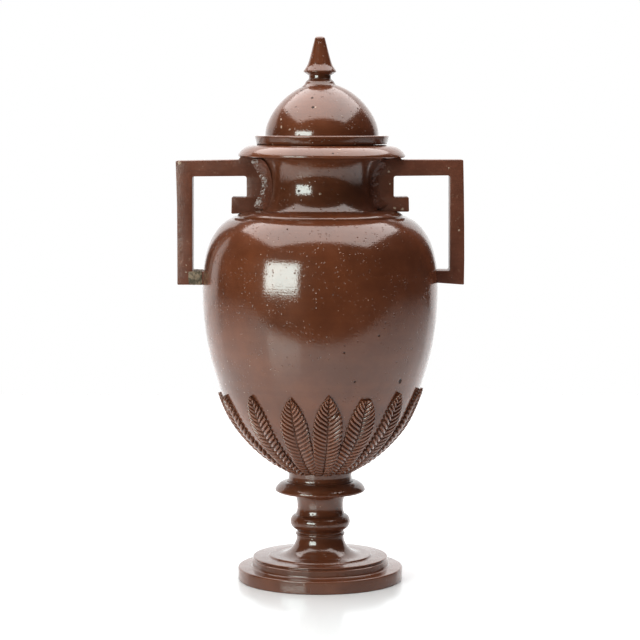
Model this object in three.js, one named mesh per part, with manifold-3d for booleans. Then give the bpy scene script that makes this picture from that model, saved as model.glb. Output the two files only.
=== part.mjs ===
// Mantel urn of brown glazed stoneware: a footed vase with squared handles and leaves, and its domed lid.
// Millimetres, +Z up. The origin is the middle of the foot's underside, and the handles lie along X.

import * as THREE from "three";
import { mergeVertices } from "three/addons/utils/BufferGeometryUtils.js";
import Module from "manifold-3d";

const wasm = await Module();
wasm.setup();

// Turned work in general
const TURNED_SIDES = 28;
const EASED_EDGE = 0.8;
const WALL = 7;
const FLOOR_THICKNESS = 10;

// Stepped round foot, hollowed from below
const PLINTH_RADIUS = 64;
const PLINTH_HEIGHT = 10;
const FOOT_RING_WIDTH = 16;
const RECESS_WALL = 7.5;
const TIER_RADIUS = 52.9;
const TIER_RIM_RADIUS = 52.3;
const TIER_HEIGHT = 7.8;
const TIER_FILLET = 1.5;
const TIER_GROOVE_DEPTH = 1.2;
const TIER_GROOVE_DROP = 1.7;
const DISH_RADIUS = 40.2;
const DISH_HEIGHT = 1.3;

// Baluster stem
const STEM_FOOT_RADIUS = 18.2;
const FLARE_RADIUS = 15.1;
const BEAD_RADIUS = 19.2;
const BEAD_HEIGHT = 2.4;
const COVE_HEIGHT = 2.8;
const TORUS_RADIUS = 23.3;
const TORUS_HEIGHT = 11;
const TORUS_ROUND = 6.2;
const STEM_WAIST_RADIUS = 17.9;
const STEM_TOP_RADIUS = 21.5;
const STEM_LOWER_HEIGHT = 6.8;
const STEM_UPPER_HEIGHT = 11.4;
const SHAFT_RADIUS = 9;

// Flange and collar below the bowl
const FLANGE_RADIUS = 35;
const FLANGE_HEIGHT = 8.2;
const FLANGE_EDGE = 2;
const FLANGE_CROWN = 1.6;
const COLLAR_RADIUS = 24.8;
const COLLAR_HEIGHT = 8;

// Bowl, as shares of its greatest radius and of its height
const BELLY_RADIUS = 90.8;
const BELLY_HEIGHT = 197.3;
const BELLY_SHAPE = [
  [0.348, 0.025],
  [0.491, 0.073],
  [0.622, 0.131],
  [0.735, 0.198],
  [0.816, 0.276],
  [0.888, 0.375],
  [0.945, 0.472],
  [0.981, 0.57],
  [0.999, 0.67],
  [0.999, 0.747],
  [0.986, 0.818],
  [0.957, 0.876],
  [0.917, 0.919],
  [0.859, 0.958],
  [0.793, 0.986],
];

// Ledge, neck and lip
const LEDGE_RADIUS = 64.3;
const LEDGE_GROOVE = 1.1;
const LEDGE_CROWN = 5.6;
const NECK_FOOT_RADIUS = 46.3;
const NECK_WAIST_RADIUS = 40.7;
const NECK_TOP_RADIUS = 49.2;
const NECK_HEIGHT = 40.2;
const LIP_RADIUS = 64.3;
const LIP_EDGE = 1.6;
const LIP_CROWN = 2.2;
const LIP_HEIGHT = 9.6;
const LIP_SEAT_RADIUS = 50.6;
const MOUTH_RADIUS = 41;

// Applied leaves: where each is set, in degrees from the front towards +X, and how long it is
const LEAVES = [
  [4.8, 89.3],
  [27, 82.6],
  [50.6, 88.6],
  [73, 88.5],
  [95, 85.5],
  [116.6, 87],
  [138.2, 87],
  [159.9, 86],
  [181.5, 87],
  [203.1, 86],
  [224.7, 87],
  [246.4, 86],
  [268, 84.1],
  [290, 85.1],
  [316, 87],
  [343.3, 87],
];
const BROKEN_LEAF = 1;
const BROKEN_TIP_LENGTH = 6.2;
const LEAF_HALF_WIDTH = 10.4;
const LEAF_ROOT_HALF_WIDTH = 5;
const LEAF_WIDEST = 0.65;
const LEAF_RELIEF = 2.4;
const LEAF_MIDRIB_SHARE = 0.62;
const LEAF_TIP_LIFT = 0.6;
const LEAF_THIN_ROOT = 0.25;
const LEAF_ROOTING = 2;
const LEAF_ROWS = 6;

// Squared handles, cut from a flat bar
const HANDLE_SPAN = 221;
const HANDLE_DEPTH = 23;
const HANDLE_UPRIGHT = 11.9;
const HANDLE_TOP_BAR = 11.8;
const HANDLE_LOWER_BAR = 10;
const HANDLE_LOWER_DROP = 41;
const HANDLE_BELOW_LIP = 1.8;
const HANDLE_ROOTING = 2;
const BRACKET_REACH = 56.2;
const TOE_REACH = 68;
const TOE_HEIGHT = 11.8;
const TOE_RISE = 3.8;

// Lid, seated a little to one side, with its finial set a little off the dome's middle
const LID_SHIFT = 1.3;
const LID_SEAT_GAP = 0.3;
const LID_RIM_CLEARANCE = 1.9;
const LID_RIM_DEPTH = 8;
const LID_RIM_WALL = 5;
const LID_WALL = 6;
const LID_FLANGE_RADIUS = 51.8;
const LID_FLANGE_HEIGHT = 6.5;
const LID_FLANGE_TAPER = 0.6;
const DOME_RADIUS = 44.4;
const DOME_SINK = 4;
const DOME_HAUNCH_EASE = 0.5;
const FINIAL_RADIUS = 12.8;
const FINIAL_HEIGHT = 35.3;
const FINIAL_SHIFT = -1.8;
const FINIAL_ROOTING = 3;
const FINIAL_SHAPE = [
  [0.844, 0.025],
  [0.68, 0.085],
  [0.668, 0.155],
  [0.836, 0.195],
  [1, 0.237],
  [0.918, 0.295],
  [0.766, 0.38],
  [0.68, 0.465],
  [0.547, 0.633],
  [0.43, 0.8],
  [0.328, 0.938],
  [0.22, 0.988],
];

// Heights, stacked from the ground up
const tierTop = PLINTH_HEIGHT + TIER_HEIGHT;
const dishTop = tierTop + DISH_HEIGHT;
const beadBase = dishTop + FLARE_RADIUS;
const coveBase = beadBase + BEAD_HEIGHT;
const torusBase = coveBase + COVE_HEIGHT;
const torusTop = torusBase + TORUS_HEIGHT;
const stemWaist = torusTop + STEM_LOWER_HEIGHT;
const flangeBase = stemWaist + STEM_UPPER_HEIGHT;
const collarBase = flangeBase + FLANGE_HEIGHT;
const bellyBase = collarBase + COLLAR_HEIGHT;
const bellyTop = bellyBase + BELLY_HEIGHT;
const bowlFloor = bellyBase + FLOOR_THICKNESS;
const neckBase = bellyTop + LEDGE_CROWN;
const neckTop = neckBase + NECK_HEIGHT;
const lipTop = neckTop + LIP_HEIGHT;

// Height of the dome above the lid's own underside
const domeTop = LID_FLANGE_HEIGHT - DOME_SINK + DOME_RADIUS;

const glaze = new THREE.MeshStandardMaterial({ color: 0x56301f, roughness: 0.22, metalness: 0 });
const lidGlaze = new THREE.MeshStandardMaterial({ color: 0x5c3524, roughness: 0.22, metalness: 0 });

function point(radius, height) {
  return new THREE.Vector2(radius, height);
}

function shares(list, radius, base, height) {
  return list.map(([r, z]) => point(r * radius, base + z * height));
}

// An arc that bows between two points of a profile, as part of a circle. A negative sagitta hollows it.
function bowed(start, end, sagitta, steps) {
  const middle = start.clone().add(end).multiplyScalar(0.5);
  const chord = end.clone().sub(start);
  const side = point(chord.y, -chord.x).normalize();
  const half = chord.length() / 2;
  const radius = (half * half + sagitta * sagitta) / (2 * sagitta);
  const centre = middle.clone().addScaledVector(side, sagitta - radius);
  const swing = 2 * Math.atan2(sagitta, half);
  const points = [];
  for (let i = 0; i <= steps; i += 1) {
    const angle = swing * ((2 * i) / steps - 1);
    const outward = side.clone().multiplyScalar(Math.cos(angle));
    outward.addScaledVector(chord.clone().normalize(), Math.sin(angle));
    points.push(centre.clone().addScaledVector(outward, radius));
  }
  return points;
}

// Neighbouring points of a profile that fall together are kept once.
function joined(...stretches) {
  const points = stretches.flat();
  return points.filter((p, i) => i === 0 || p.distanceTo(points[i - 1]) > 1e-4);
}

// A turned geometry round the Z axis, from a profile that goes up on its outside.
function turned(profile) {
  const geometry = new THREE.LatheGeometry(profile, TURNED_SIDES);
  geometry.rotateX(Math.PI / 2);
  return geometry;
}

// A closed solid from a geometry, with its shared corners merged and its collapsed triangles dropped.
function solidOf(geometry) {
  const bare = geometry.clone();
  bare.deleteAttribute("normal");
  bare.deleteAttribute("uv");
  const merged = mergeVertices(bare, 1e-4);
  const corners = merged.index.array;
  const kept = [];
  for (let i = 0; i < corners.length; i += 3) {
    const [a, b, c] = corners.slice(i, i + 3);
    if (a !== b && b !== c && c !== a) kept.push(a, b, c);
  }
  const vertProperties = new Float32Array(merged.attributes.position.array);
  const triVerts = new Uint32Array(kept);
  return new wasm.Manifold(new wasm.Mesh({ numProp: 3, vertProperties, triVerts }));
}

function meshOf(solid, name, material) {
  const { vertProperties, triVerts } = solid.getMesh();
  const geometry = new THREE.BufferGeometry();
  geometry.setAttribute("position", new THREE.BufferAttribute(vertProperties, 3));
  geometry.setIndex(new THREE.BufferAttribute(triVerts, 1));
  geometry.computeVertexNormals();
  const mesh = new THREE.Mesh(geometry, material);
  mesh.name = name;
  return mesh;
}

function bellyStations() {
  return [
    point(COLLAR_RADIUS, bellyBase),
    ...shares(BELLY_SHAPE, BELLY_RADIUS, bellyBase, BELLY_HEIGHT),
    point(LEDGE_RADIUS + 2 * LEDGE_GROOVE, bellyTop),
  ];
}

// The bowl's outer curve as a smooth line through its stations, from the collar up to the ledge.
function bellyCurve() {
  const inSpace = bellyStations().map((p) => new THREE.Vector3(p.x, p.y, 0));
  return new THREE.CatmullRomCurve3(inSpace, false, "centripetal");
}

const belly = bellyCurve();

// The underside: a flat foot ring, a dished recess and the shaft up the stem.
function undersideProfile() {
  const ringInner = PLINTH_RADIUS - FOOT_RING_WIDTH;
  return [
    point(0, flangeBase),
    point(SHAFT_RADIUS, flangeBase),
    point(SHAFT_RADIUS, beadBase),
    point(STEM_FOOT_RADIUS - RECESS_WALL + FLARE_RADIUS * 0.2, beadBase - FLARE_RADIUS * 0.8),
    point(STEM_FOOT_RADIUS + FLARE_RADIUS - RECESS_WALL, dishTop - RECESS_WALL),
    point(ringInner - EASED_EDGE, tierTop - RECESS_WALL - EASED_EDGE),
    point(ringInner - EASED_EDGE, EASED_EDGE),
    point(ringInner, 0),
  ];
}

function footProfile() {
  return [
    point(PLINTH_RADIUS - EASED_EDGE / 2, 0),
    point(PLINTH_RADIUS, EASED_EDGE / 2),
    point(PLINTH_RADIUS, PLINTH_HEIGHT - EASED_EDGE),
    point(PLINTH_RADIUS - EASED_EDGE, PLINTH_HEIGHT),
    point(TIER_RADIUS + TIER_FILLET, PLINTH_HEIGHT),
    point(TIER_RADIUS, PLINTH_HEIGHT + TIER_FILLET),
    point(TIER_RADIUS, tierTop - TIER_GROOVE_DROP - TIER_GROOVE_DEPTH),
    point(TIER_RIM_RADIUS - TIER_GROOVE_DEPTH, tierTop - TIER_GROOVE_DROP),
    point(TIER_RIM_RADIUS, tierTop - EASED_EDGE / 2),
    point(TIER_RIM_RADIUS - EASED_EDGE / 2, tierTop),
    point(DISH_RADIUS, tierTop),
    point(DISH_RADIUS - EASED_EDGE, dishTop),
  ];
}

function stemProfile() {
  const flareSagitta = FLARE_RADIUS * (1 - Math.SQRT1_2);
  const flareFoot = point(STEM_FOOT_RADIUS + FLARE_RADIUS, dishTop);
  const rise = Math.min(TORUS_HEIGHT / 2, TORUS_ROUND);
  const torusEnd = TORUS_RADIUS - TORUS_ROUND + Math.sqrt(TORUS_ROUND ** 2 - rise ** 2);
  const waist = point(STEM_WAIST_RADIUS, stemWaist);
  return joined(
    bowed(flareFoot, point(STEM_FOOT_RADIUS, beadBase), -flareSagitta, 4),
    [point(BEAD_RADIUS, beadBase + BEAD_HEIGHT / 2)],
    [point(STEM_FOOT_RADIUS, coveBase)],
    bowed(point(torusEnd, torusBase), point(torusEnd, torusTop), TORUS_RADIUS - torusEnd, 4),
    bowed(point(torusEnd, torusTop), waist, -STEM_LOWER_HEIGHT * 0.07, 2),
    bowed(waist, point(STEM_TOP_RADIUS, flangeBase), -STEM_UPPER_HEIGHT * 0.07, 2),
  );
}

function flangeProfile() {
  const edgeTop = flangeBase + FLANGE_EDGE;
  return joined(
    [point(FLANGE_RADIUS - FLANGE_EDGE * 0.7, flangeBase)],
    [point(FLANGE_RADIUS, flangeBase + FLANGE_EDGE * 0.6)],
    bowed(point(FLANGE_RADIUS, edgeTop), point(COLLAR_RADIUS, collarBase), FLANGE_CROWN, 3),
  );
}

function ledgeProfile() {
  const reach = LEDGE_RADIUS - NECK_FOOT_RADIUS;
  const crown = new THREE.EllipseCurve(NECK_FOOT_RADIUS, bellyTop, reach, LEDGE_CROWN, 0, Math.PI / 2);
  return joined([point(LEDGE_RADIUS + LEDGE_GROOVE / 2, bellyTop - LEDGE_GROOVE)], crown.getPoints(3));
}

function neckProfile() {
  const foot = point(NECK_FOOT_RADIUS, neckBase);
  const top = point(NECK_TOP_RADIUS, neckTop);
  return bowed(foot, top, NECK_WAIST_RADIUS - (foot.x + top.x) / 2, 6);
}

function lipProfile() {
  const edgeTop = point(LIP_RADIUS, neckTop + LIP_EDGE);
  const crownTop = point(LIP_SEAT_RADIUS, lipTop - EASED_EDGE / 2);
  return joined(
    [point(LIP_RADIUS - EASED_EDGE, neckTop)],
    bowed(edgeTop, crownTop, LIP_CROWN, 3),
    [point(LIP_SEAT_RADIUS - EASED_EDGE, lipTop)],
  );
}

function outerTurning() {
  return solidOf(
    turned(
      joined(
        undersideProfile(),
        footProfile(),
        stemProfile(),
        flangeProfile(),
        bellyStations(),
        ledgeProfile(),
        neckProfile(),
        lipProfile(),
        [point(0, lipTop)],
      ),
    ),
  );
}

// The bowl's curve moved in by the wall, from the floor up to the shoulder.
function innerBelly() {
  const steps = 11;
  const inner = [];
  for (let i = 1; i < steps; i += 1) {
    const at = belly.getPointAt(i / steps);
    const along = belly.getTangentAt(i / steps);
    const moved = point(at.x - along.y * WALL, at.y + along.x * WALL);
    if (moved.y > bowlFloor + EASED_EDGE) inner.push(moved);
  }
  return inner;
}

// The space inside, from the bowl's floor up through the mouth.
function hollow() {
  const inner = innerBelly();
  const rimHeight = lipTop - LID_RIM_DEPTH - 2 * LID_RIM_CLEARANCE;
  const neckFoot = point(NECK_FOOT_RADIUS - WALL, neckBase - WALL / 2);
  const neckBow = NECK_WAIST_RADIUS - WALL - (neckFoot.x + MOUTH_RADIUS) / 2;
  const profile = joined(
    [point(0, bowlFloor), point(inner[0].x - WALL, bowlFloor)],
    inner,
    bowed(neckFoot, point(MOUTH_RADIUS, rimHeight), neckBow, 3),
    [point(MOUTH_RADIUS, lipTop + WALL), point(0, lipTop + WALL)],
  );
  return solidOf(turned(profile));
}

// Half the width of a leaf at a share of its length: a long taper from the root and a blunt pointed tip.
function leafHalfWidth(share) {
  if (share < LEAF_WIDEST) {
    const swell = Math.sin((Math.PI / 2) * (share / LEAF_WIDEST));
    return LEAF_ROOT_HALF_WIDTH + (LEAF_HALF_WIDTH - LEAF_ROOT_HALF_WIDTH) * swell;
  }
  const beyond = (share - LEAF_WIDEST) / (1 - LEAF_WIDEST);
  return LEAF_HALF_WIDTH * Math.max(1 - beyond ** 3.3, 0) ** 0.8;
}

// How far a leaf stands off the bowl: two pillowed halves either side of a sunken midrib.
function leafHeight(across, share) {
  const pillow = Math.sin(Math.PI * Math.abs(across)) ** 2;
  const lift = LEAF_TIP_LIFT * Math.max((share - LEAF_WIDEST) / (1 - LEAF_WIDEST), 0) ** 2;
  const fullness = Math.min(0.4 + share / LEAF_THIN_ROOT, 1);
  return LEAF_RELIEF * fullness * (LEAF_MIDRIB_SHARE + (1 - LEAF_MIDRIB_SHARE) * pillow) + lift;
}

// One leaf, bent over the bowl from a flat blank. A broken leaf stops short of its tip.
function leaf([degrees, length], broken) {
  const wholeLength = broken ? length + BROKEN_TIP_LENGTH : length;
  const reach = broken ? length / wholeLength : 0.995;
  const blank = new THREE.BoxGeometry(2, 1, 1, 4, LEAF_ROWS, 1);
  const position = blank.attributes.position;
  for (let i = 0; i < position.count; i += 1) {
    const across = position.getX(i);
    const share = reach * Math.sin((Math.PI / 2) * (position.getY(i) + 0.5));
    const along = (share * wholeLength) / belly.getLength();
    const at = belly.getPointAt(along);
    const slope = belly.getTangentAt(along);
    const height = position.getZ(i) > 0 ? leafHeight(across, share) : -LEAF_ROOTING;
    const azimuth = THREE.MathUtils.degToRad(degrees) + (across * leafHalfWidth(share)) / at.x;
    const radius = at.x + slope.y * height;
    position.setXYZ(i, radius * Math.sin(azimuth), -radius * Math.cos(azimuth), at.y - slope.x * height);
  }
  return solidOf(blank);
}

// One handle, on the +X side: a top bar, an upright, a lower bar and a bracket with a toe by the ledge.
function handle() {
  const reach = HANDLE_SPAN / 2;
  const upright = reach - HANDLE_UPRIGHT;
  const top = neckTop - HANDLE_BELOW_LIP;
  const underTop = top - HANDLE_TOP_BAR;
  const toeUnder = bellyTop + TOE_RISE;
  const toeTop = toeUnder + TOE_HEIGHT;
  const lowerTop = bellyTop - HANDLE_LOWER_DROP;
  const lowerUnder = lowerTop - HANDLE_LOWER_BAR;
  const rootedIn = (radius) => Math.sqrt(radius ** 2 - (HANDLE_DEPTH / 2) ** 2) - HANDLE_ROOTING;
  const inNeck = rootedIn(NECK_WAIST_RADIUS);
  const inBelly = rootedIn(BELLY_RADIUS);
  const inLip = neckTop + LIP_EDGE / 2;
  const outline = new THREE.Shape([
    point(inNeck, inLip),
    point(inNeck, toeUnder),
    point(TOE_REACH, toeUnder),
    point(TOE_REACH, toeTop),
    point(BRACKET_REACH, toeTop),
    point(BRACKET_REACH, underTop),
    point(upright, underTop),
    point(upright, lowerTop),
    point(inBelly, lowerTop),
    point(inBelly, lowerUnder),
    point(reach, lowerUnder),
    point(reach, top),
    point(LIP_RADIUS - HANDLE_BELOW_LIP, top),
    point(LIP_RADIUS - 2 * HANDLE_BELOW_LIP, inLip),
  ]);
  const geometry = new THREE.ExtrudeGeometry(outline, { depth: HANDLE_DEPTH, bevelEnabled: false });
  geometry.translate(0, 0, -HANDLE_DEPTH / 2);
  geometry.rotateX(Math.PI / 2);
  return geometry;
}

function urn() {
  let body = outerTurning();
  body = body.add(solidOf(handle()));
  body = body.add(solidOf(handle().rotateZ(Math.PI)));
  LEAVES.forEach((setting, k) => {
    body = body.add(leaf(setting, k === BROKEN_LEAF));
  });
  return meshOf(body.subtract(hollow()), "urn", glaze);
}

// Points up a dome from a height above its centre to a radius near its top, eased in at the haunch.
function domeArc(radius, fromHeight, toRadius, ease, steps) {
  const start = Math.asin(fromHeight / radius);
  const end = Math.acos(toRadius / radius);
  const points = [];
  for (let i = 0; i <= steps; i += 1) {
    const angle = start + ((end - start) * i) / steps;
    const reach = radius - ease * Math.sin(2 * angle) ** 2;
    points.push(point(reach * Math.cos(angle), domeTop - DOME_RADIUS + reach * Math.sin(angle)));
  }
  return points;
}

function lidProfile() {
  const rimOuter = MOUTH_RADIUS - LID_RIM_CLEARANCE;
  const rimInner = rimOuter - LID_RIM_WALL;
  return joined(
    domeArc(DOME_RADIUS - LID_WALL, DOME_SINK, 0, 0, 4).reverse(),
    [point(rimInner, -EASED_EDGE), point(rimInner, -LID_RIM_DEPTH), point(rimOuter, -LID_RIM_DEPTH)],
    [point(rimOuter, 0), point(LID_FLANGE_RADIUS - LID_FLANGE_TAPER, 0)],
    [point(LID_FLANGE_RADIUS, LID_FLANGE_HEIGHT - EASED_EDGE / 2)],
    [point(LID_FLANGE_RADIUS - EASED_EDGE / 2, LID_FLANGE_HEIGHT)],
    domeArc(DOME_RADIUS, DOME_SINK, FINIAL_RADIUS / 2, DOME_HAUNCH_EASE, 6),
    [point(0, domeTop)],
  );
}

function finialProfile() {
  const foot = domeTop - FINIAL_ROOTING;
  return [
    point(0, foot),
    point(FINIAL_RADIUS * 1.08, foot),
    ...shares(FINIAL_SHAPE, FINIAL_RADIUS, domeTop, FINIAL_HEIGHT),
    point(0, domeTop + FINIAL_HEIGHT),
  ];
}

// The lid, built from its own underside up and set on the lip.
function lid() {
  const finial = turned(finialProfile()).translate(FINIAL_SHIFT, 0, 0);
  const mesh = meshOf(solidOf(turned(lidProfile())).add(solidOf(finial)), "lid", lidGlaze);
  mesh.position.set(LID_SHIFT, 0, lipTop + LID_SEAT_GAP);
  return mesh;
}

const mantelUrn = new THREE.Group();
mantelUrn.add(urn());
mantelUrn.add(lid());

export default mantelUrn;
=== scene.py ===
"""Looks of a mantel urn in brown glazed stoneware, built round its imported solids.

Sizes are in millimetres and become metres when a mesh is made. The urn stands on the floor round the Z axis,
with its two handles along X and its front towards -Y.
"""

from __future__ import annotations

import logging
import math
from dataclasses import dataclass, field
from enum import Enum
from typing import Any, Callable, Sequence

import bmesh
import bpy
from mathutils import Matrix, Vector, noise


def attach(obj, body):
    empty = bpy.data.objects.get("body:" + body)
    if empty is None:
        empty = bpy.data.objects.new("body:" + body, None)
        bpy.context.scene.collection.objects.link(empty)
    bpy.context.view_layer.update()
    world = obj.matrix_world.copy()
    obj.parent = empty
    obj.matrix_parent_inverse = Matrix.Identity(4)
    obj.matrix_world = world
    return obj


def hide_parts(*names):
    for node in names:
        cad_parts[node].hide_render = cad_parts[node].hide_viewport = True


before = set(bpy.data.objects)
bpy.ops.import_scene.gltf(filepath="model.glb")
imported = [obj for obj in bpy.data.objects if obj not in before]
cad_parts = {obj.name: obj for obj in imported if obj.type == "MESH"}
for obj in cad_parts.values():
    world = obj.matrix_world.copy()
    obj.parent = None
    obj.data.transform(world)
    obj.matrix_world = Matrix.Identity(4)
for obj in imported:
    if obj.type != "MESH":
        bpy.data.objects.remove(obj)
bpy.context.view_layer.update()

MM = 0.001
LOG = logging.getLogger("mantel_urn")

Point = tuple[float, float]
Colour = tuple[float, float, float]


class Node(Enum):
    """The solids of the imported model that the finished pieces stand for."""

    URN = "urn"
    LID = "lid"


class Slot(Enum):
    """The record's material slots."""

    URN = "urn_glaze"
    LID = "lid_glaze"


class Side(Enum):
    """The two sides that carry a handle, as the sign of X."""

    LEFT = -1
    RIGHT = 1


# Outlines and profiles


def bowed(start: Point, end: Point, sagitta: float, steps: int) -> list[Point]:
    """Points on an arc that bows between two points of a profile.

    Args:
        start: First point, as radius and height.
        end: Last point.
        sagitta: How far the arc stands off its chord, outwards when the profile goes up. Negative hollows it.
        steps: How many stretches the arc has.

    Returns:
        The points, with both ends.
    """
    a, b = Vector(start), Vector(end)
    chord = b - a
    along = chord.normalized()
    side = Vector((along.y, -along.x))
    half = chord.length / 2
    radius = (half * half + sagitta * sagitta) / (2 * sagitta)
    centre = (a + b) / 2 + side * (sagitta - radius)
    swing = 2 * math.atan2(sagitta, half)
    points = []
    for i in range(steps + 1):
        angle = swing * (2 * i / steps - 1)
        at = centre + (side * math.cos(angle) + along * math.sin(angle)) * radius
        points.append((at.x, at.y))
    return points


def joined(*stretches: Sequence[Point]) -> list[Point]:
    """One profile from several stretches, with points that fall together kept once.

    Args:
        *stretches: The stretches, in order.

    Returns:
        The points of the whole profile.
    """
    points: list[Point] = []
    for point in (p for stretch in stretches for p in stretch):
        if not points or math.dist(point, points[-1]) > 1e-4:
            points.append(point)
    return points


def softened(corners: Sequence[tuple[float, float, float]], steps: int = 4) -> list[Point]:
    """A polyline whose corners are rounded.

    Args:
        corners: Radius and height of each corner, and the radius it is rounded to.
        steps: How many stretches each rounding has.

    Returns:
        The points of the rounded line.
    """
    points: list[Point] = []
    for i, (x, z, radius) in enumerate(corners):
        if radius <= 0 or i in (0, len(corners) - 1):
            points.append((x, z))
            continue
        here = Vector((x, z))
        back = (Vector(corners[i - 1][:2]) - here).normalized()
        ahead = (Vector(corners[i + 1][:2]) - here).normalized()
        half = max(back.angle(ahead) / 2, 1e-3)
        reach = radius / math.tan(half)
        centre = here + (back + ahead).normalized() * (radius / math.sin(half))
        first, last = here + back * reach - centre, here + ahead * reach - centre
        for k in range(steps + 1):
            at = centre + first.lerp(last, k / steps).normalized() * radius
            points.append((at.x, at.y))
    return joined(points)


def smooth_through(stations: Sequence[Point], steps: int) -> list[Point]:
    """A centripetal spline through a profile's stations.

    Args:
        stations: The points that the line passes through.
        steps: How many stretches lie between two stations.

    Returns:
        The points of the smooth line.
    """
    knots = [Vector(s) for s in stations]
    knots = [2 * knots[0] - knots[1], *knots, 2 * knots[-1] - knots[-2]]
    points = []
    for i in range(1, len(knots) - 2):
        p0, p1, p2, p3 = knots[i - 1 : i + 3]
        d0, d1, d2 = (math.sqrt((b - a).length) for a, b in ((p0, p1), (p1, p2), (p2, p3)))
        m1 = (p1 - p0) / d0 - (p2 - p0) / (d0 + d1) + (p2 - p1) / d1
        m2 = (p2 - p1) / d1 - (p3 - p1) / (d1 + d2) + (p3 - p2) / d2
        m1, m2 = m1 * d1, m2 * d1
        for k in range(steps):
            t = k / steps
            at = p1 + m1 * t + (3 * (p2 - p1) - 2 * m1 - m2) * t**2 + (2 * (p1 - p2) + m1 + m2) * t**3
            points.append((at.x, at.y))
    points.append((knots[-2].x, knots[-2].y))
    return points


@dataclass(frozen=True)
class Line:
    """A smooth profile that can be read by the length along it.

    Args:
        points: The line's points, close together.
    """

    points: tuple[Point, ...]

    @property
    def lengths(self) -> list[float]:
        """The length along the line up to each of its points.

        Returns:
            The lengths in millimetres.
        """
        total = [0.0]
        for a, b in zip(self.points, self.points[1:]):
            total.append(total[-1] + math.dist(a, b))
        return total

    def reader(self) -> Callable[[float], tuple[Vector, Vector]]:
        """A function that reads the line.

        Returns:
            The function. It takes a length along the line and gives the place and the direction there.
        """
        marks = self.lengths

        def read(length: float) -> tuple[Vector, Vector]:
            """The place and the direction of the line at one length along it.

            Args:
                length: The length from the line's start, in millimetres.

            Returns:
                The place and the direction there.
            """
            i = 1
            while i < len(marks) - 1 and marks[i] < length:
                i += 1
            a, b = Vector(self.points[i - 1]), Vector(self.points[i])
            share = (length - marks[i - 1]) / (marks[i] - marks[i - 1])
            return a.lerp(b, share), (b - a).normalized()

        return read


def radius_at(profile: Sequence[Point], height: float) -> float:
    """The radius of a profile at a height, on the first stretch that passes it.

    Args:
        profile: Radius and height of the profile's points.
        height: The height in millimetres.

    Returns:
        The radius there, or the last point's where no stretch passes that height.
    """
    for (r0, z0), (r1, z1) in zip(profile, profile[1:]):
        if min(z0, z1) <= height <= max(z0, z1) and z0 != z1:
            return r0 + (r1 - r0) * (height - z0) / (z1 - z0)
    return profile[-1][0]


def eased_step(value: float, low: float, high: float) -> float:
    """A smooth step from 0 at low to 1 at high."""
    share = min(max((value - low) / (high - low), 0.0), 1.0)
    return share * share * (3 - 2 * share)


# Meshes


def shaped(bm: bmesh.types.BMesh, name: str, sharp_degrees: float = 40.0) -> bpy.types.Object:
    """Makes an object of a finished bmesh in millimetres.

    Args:
        bm: The mesh. It is used up.
        name: The piece's name.
        sharp_degrees: Edges that turn more than this stay sharp in the shading.

    Returns:
        The object, in metres and linked to the scene.
    """
    bmesh.ops.scale(bm, vec=(MM, MM, MM), verts=bm.verts)
    mesh = bpy.data.meshes.new(name)
    bm.to_mesh(mesh)
    bm.free()
    mesh.polygons.foreach_set("use_smooth", [True] * len(mesh.polygons))
    mesh.set_sharp_from_angle(angle=math.radians(sharp_degrees))
    piece = bpy.data.objects.new(name, mesh)
    bpy.context.scene.collection.objects.link(piece)
    return piece


def turned(profile: Sequence[Point], sides: int) -> bmesh.types.BMesh:
    """A profile turned full circle round the Z axis, with its poles closed and its faces outwards.

    Args:
        profile: Radius and height of the profile's points.
        sides: How many stretches the circle has.

    Returns:
        The closed mesh.
    """
    bm = bmesh.new()
    corners = [bm.verts.new((r, 0, z)) for r, z in profile]
    edges = [bm.edges.new(pair) for pair in zip(corners, corners[1:])]
    bmesh.ops.spin(
        bm,
        geom=[*corners, *edges],
        cent=(0, 0, 0),
        axis=(0, 0, 1),
        angle=math.tau,
        steps=sides,
        use_merge=True,
    )
    bmesh.ops.remove_doubles(bm, verts=bm.verts, dist=1e-3)
    bmesh.ops.recalc_face_normals(bm, faces=bm.faces)
    return bm


def laid_out(rows: int, columns: int, place: Callable[[int, int], tuple[Vector, float]]) -> bmesh.types.BMesh:
    """A grid bent into a closed skin, whose outer columns fall together and whose ends are filled.

    Args:
        rows: How many stretches the grid has along it.
        columns: How many stretches it has across.
        place: Where the corner at a row and a column goes, and its value in a mask of pooled glaze and painted shade.

    Returns:
        The closed mesh, with that mask as its attribute "pool".
    """
    bm = bmesh.new()
    pool_and_shade = bm.verts.layers.float.new("pool_and_shade")
    bmesh.ops.create_grid(bm, x_segments=columns, y_segments=rows, size=1)
    for vert in bm.verts:
        column = round((vert.co.x + 1) / 2 * columns)
        row = round((vert.co.y + 1) / 2 * rows)
        vert.co, vert[pool_and_shade] = place(row, column)
    bmesh.ops.remove_doubles(bm, verts=bm.verts, dist=1e-4)
    bmesh.ops.holes_fill(bm, edges=bm.edges, sides=0)
    bmesh.ops.recalc_face_normals(bm, faces=bm.faces)
    return bm


def eased(bm: bmesh.types.BMesh, edges: Sequence[bmesh.types.BMEdge], width: float, segments: int) -> None:
    """Rounds some edges of a mesh.

    Args:
        bm: The mesh.
        edges: The edges.
        width: How far the rounding reaches, in millimetres.
        segments: How many faces it has across.
    """
    bmesh.ops.bevel(
        bm,
        geom=edges,
        offset=width,
        offset_type="OFFSET",
        segments=segments,
        profile=0.5,
        affect="EDGES",
        clamp_overlap=True,
        material=-1,
    )


def painted(piece: bpy.types.Object, name: str, shade: Callable[[Vector], float]) -> None:
    """Writes a value on every point of a piece, from its place in millimetres."""
    layer = piece.data.attributes.new(name, "FLOAT", "POINT")
    layer.data.foreach_set("value", [shade(v.co / MM) for v in piece.data.vertices])


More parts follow.
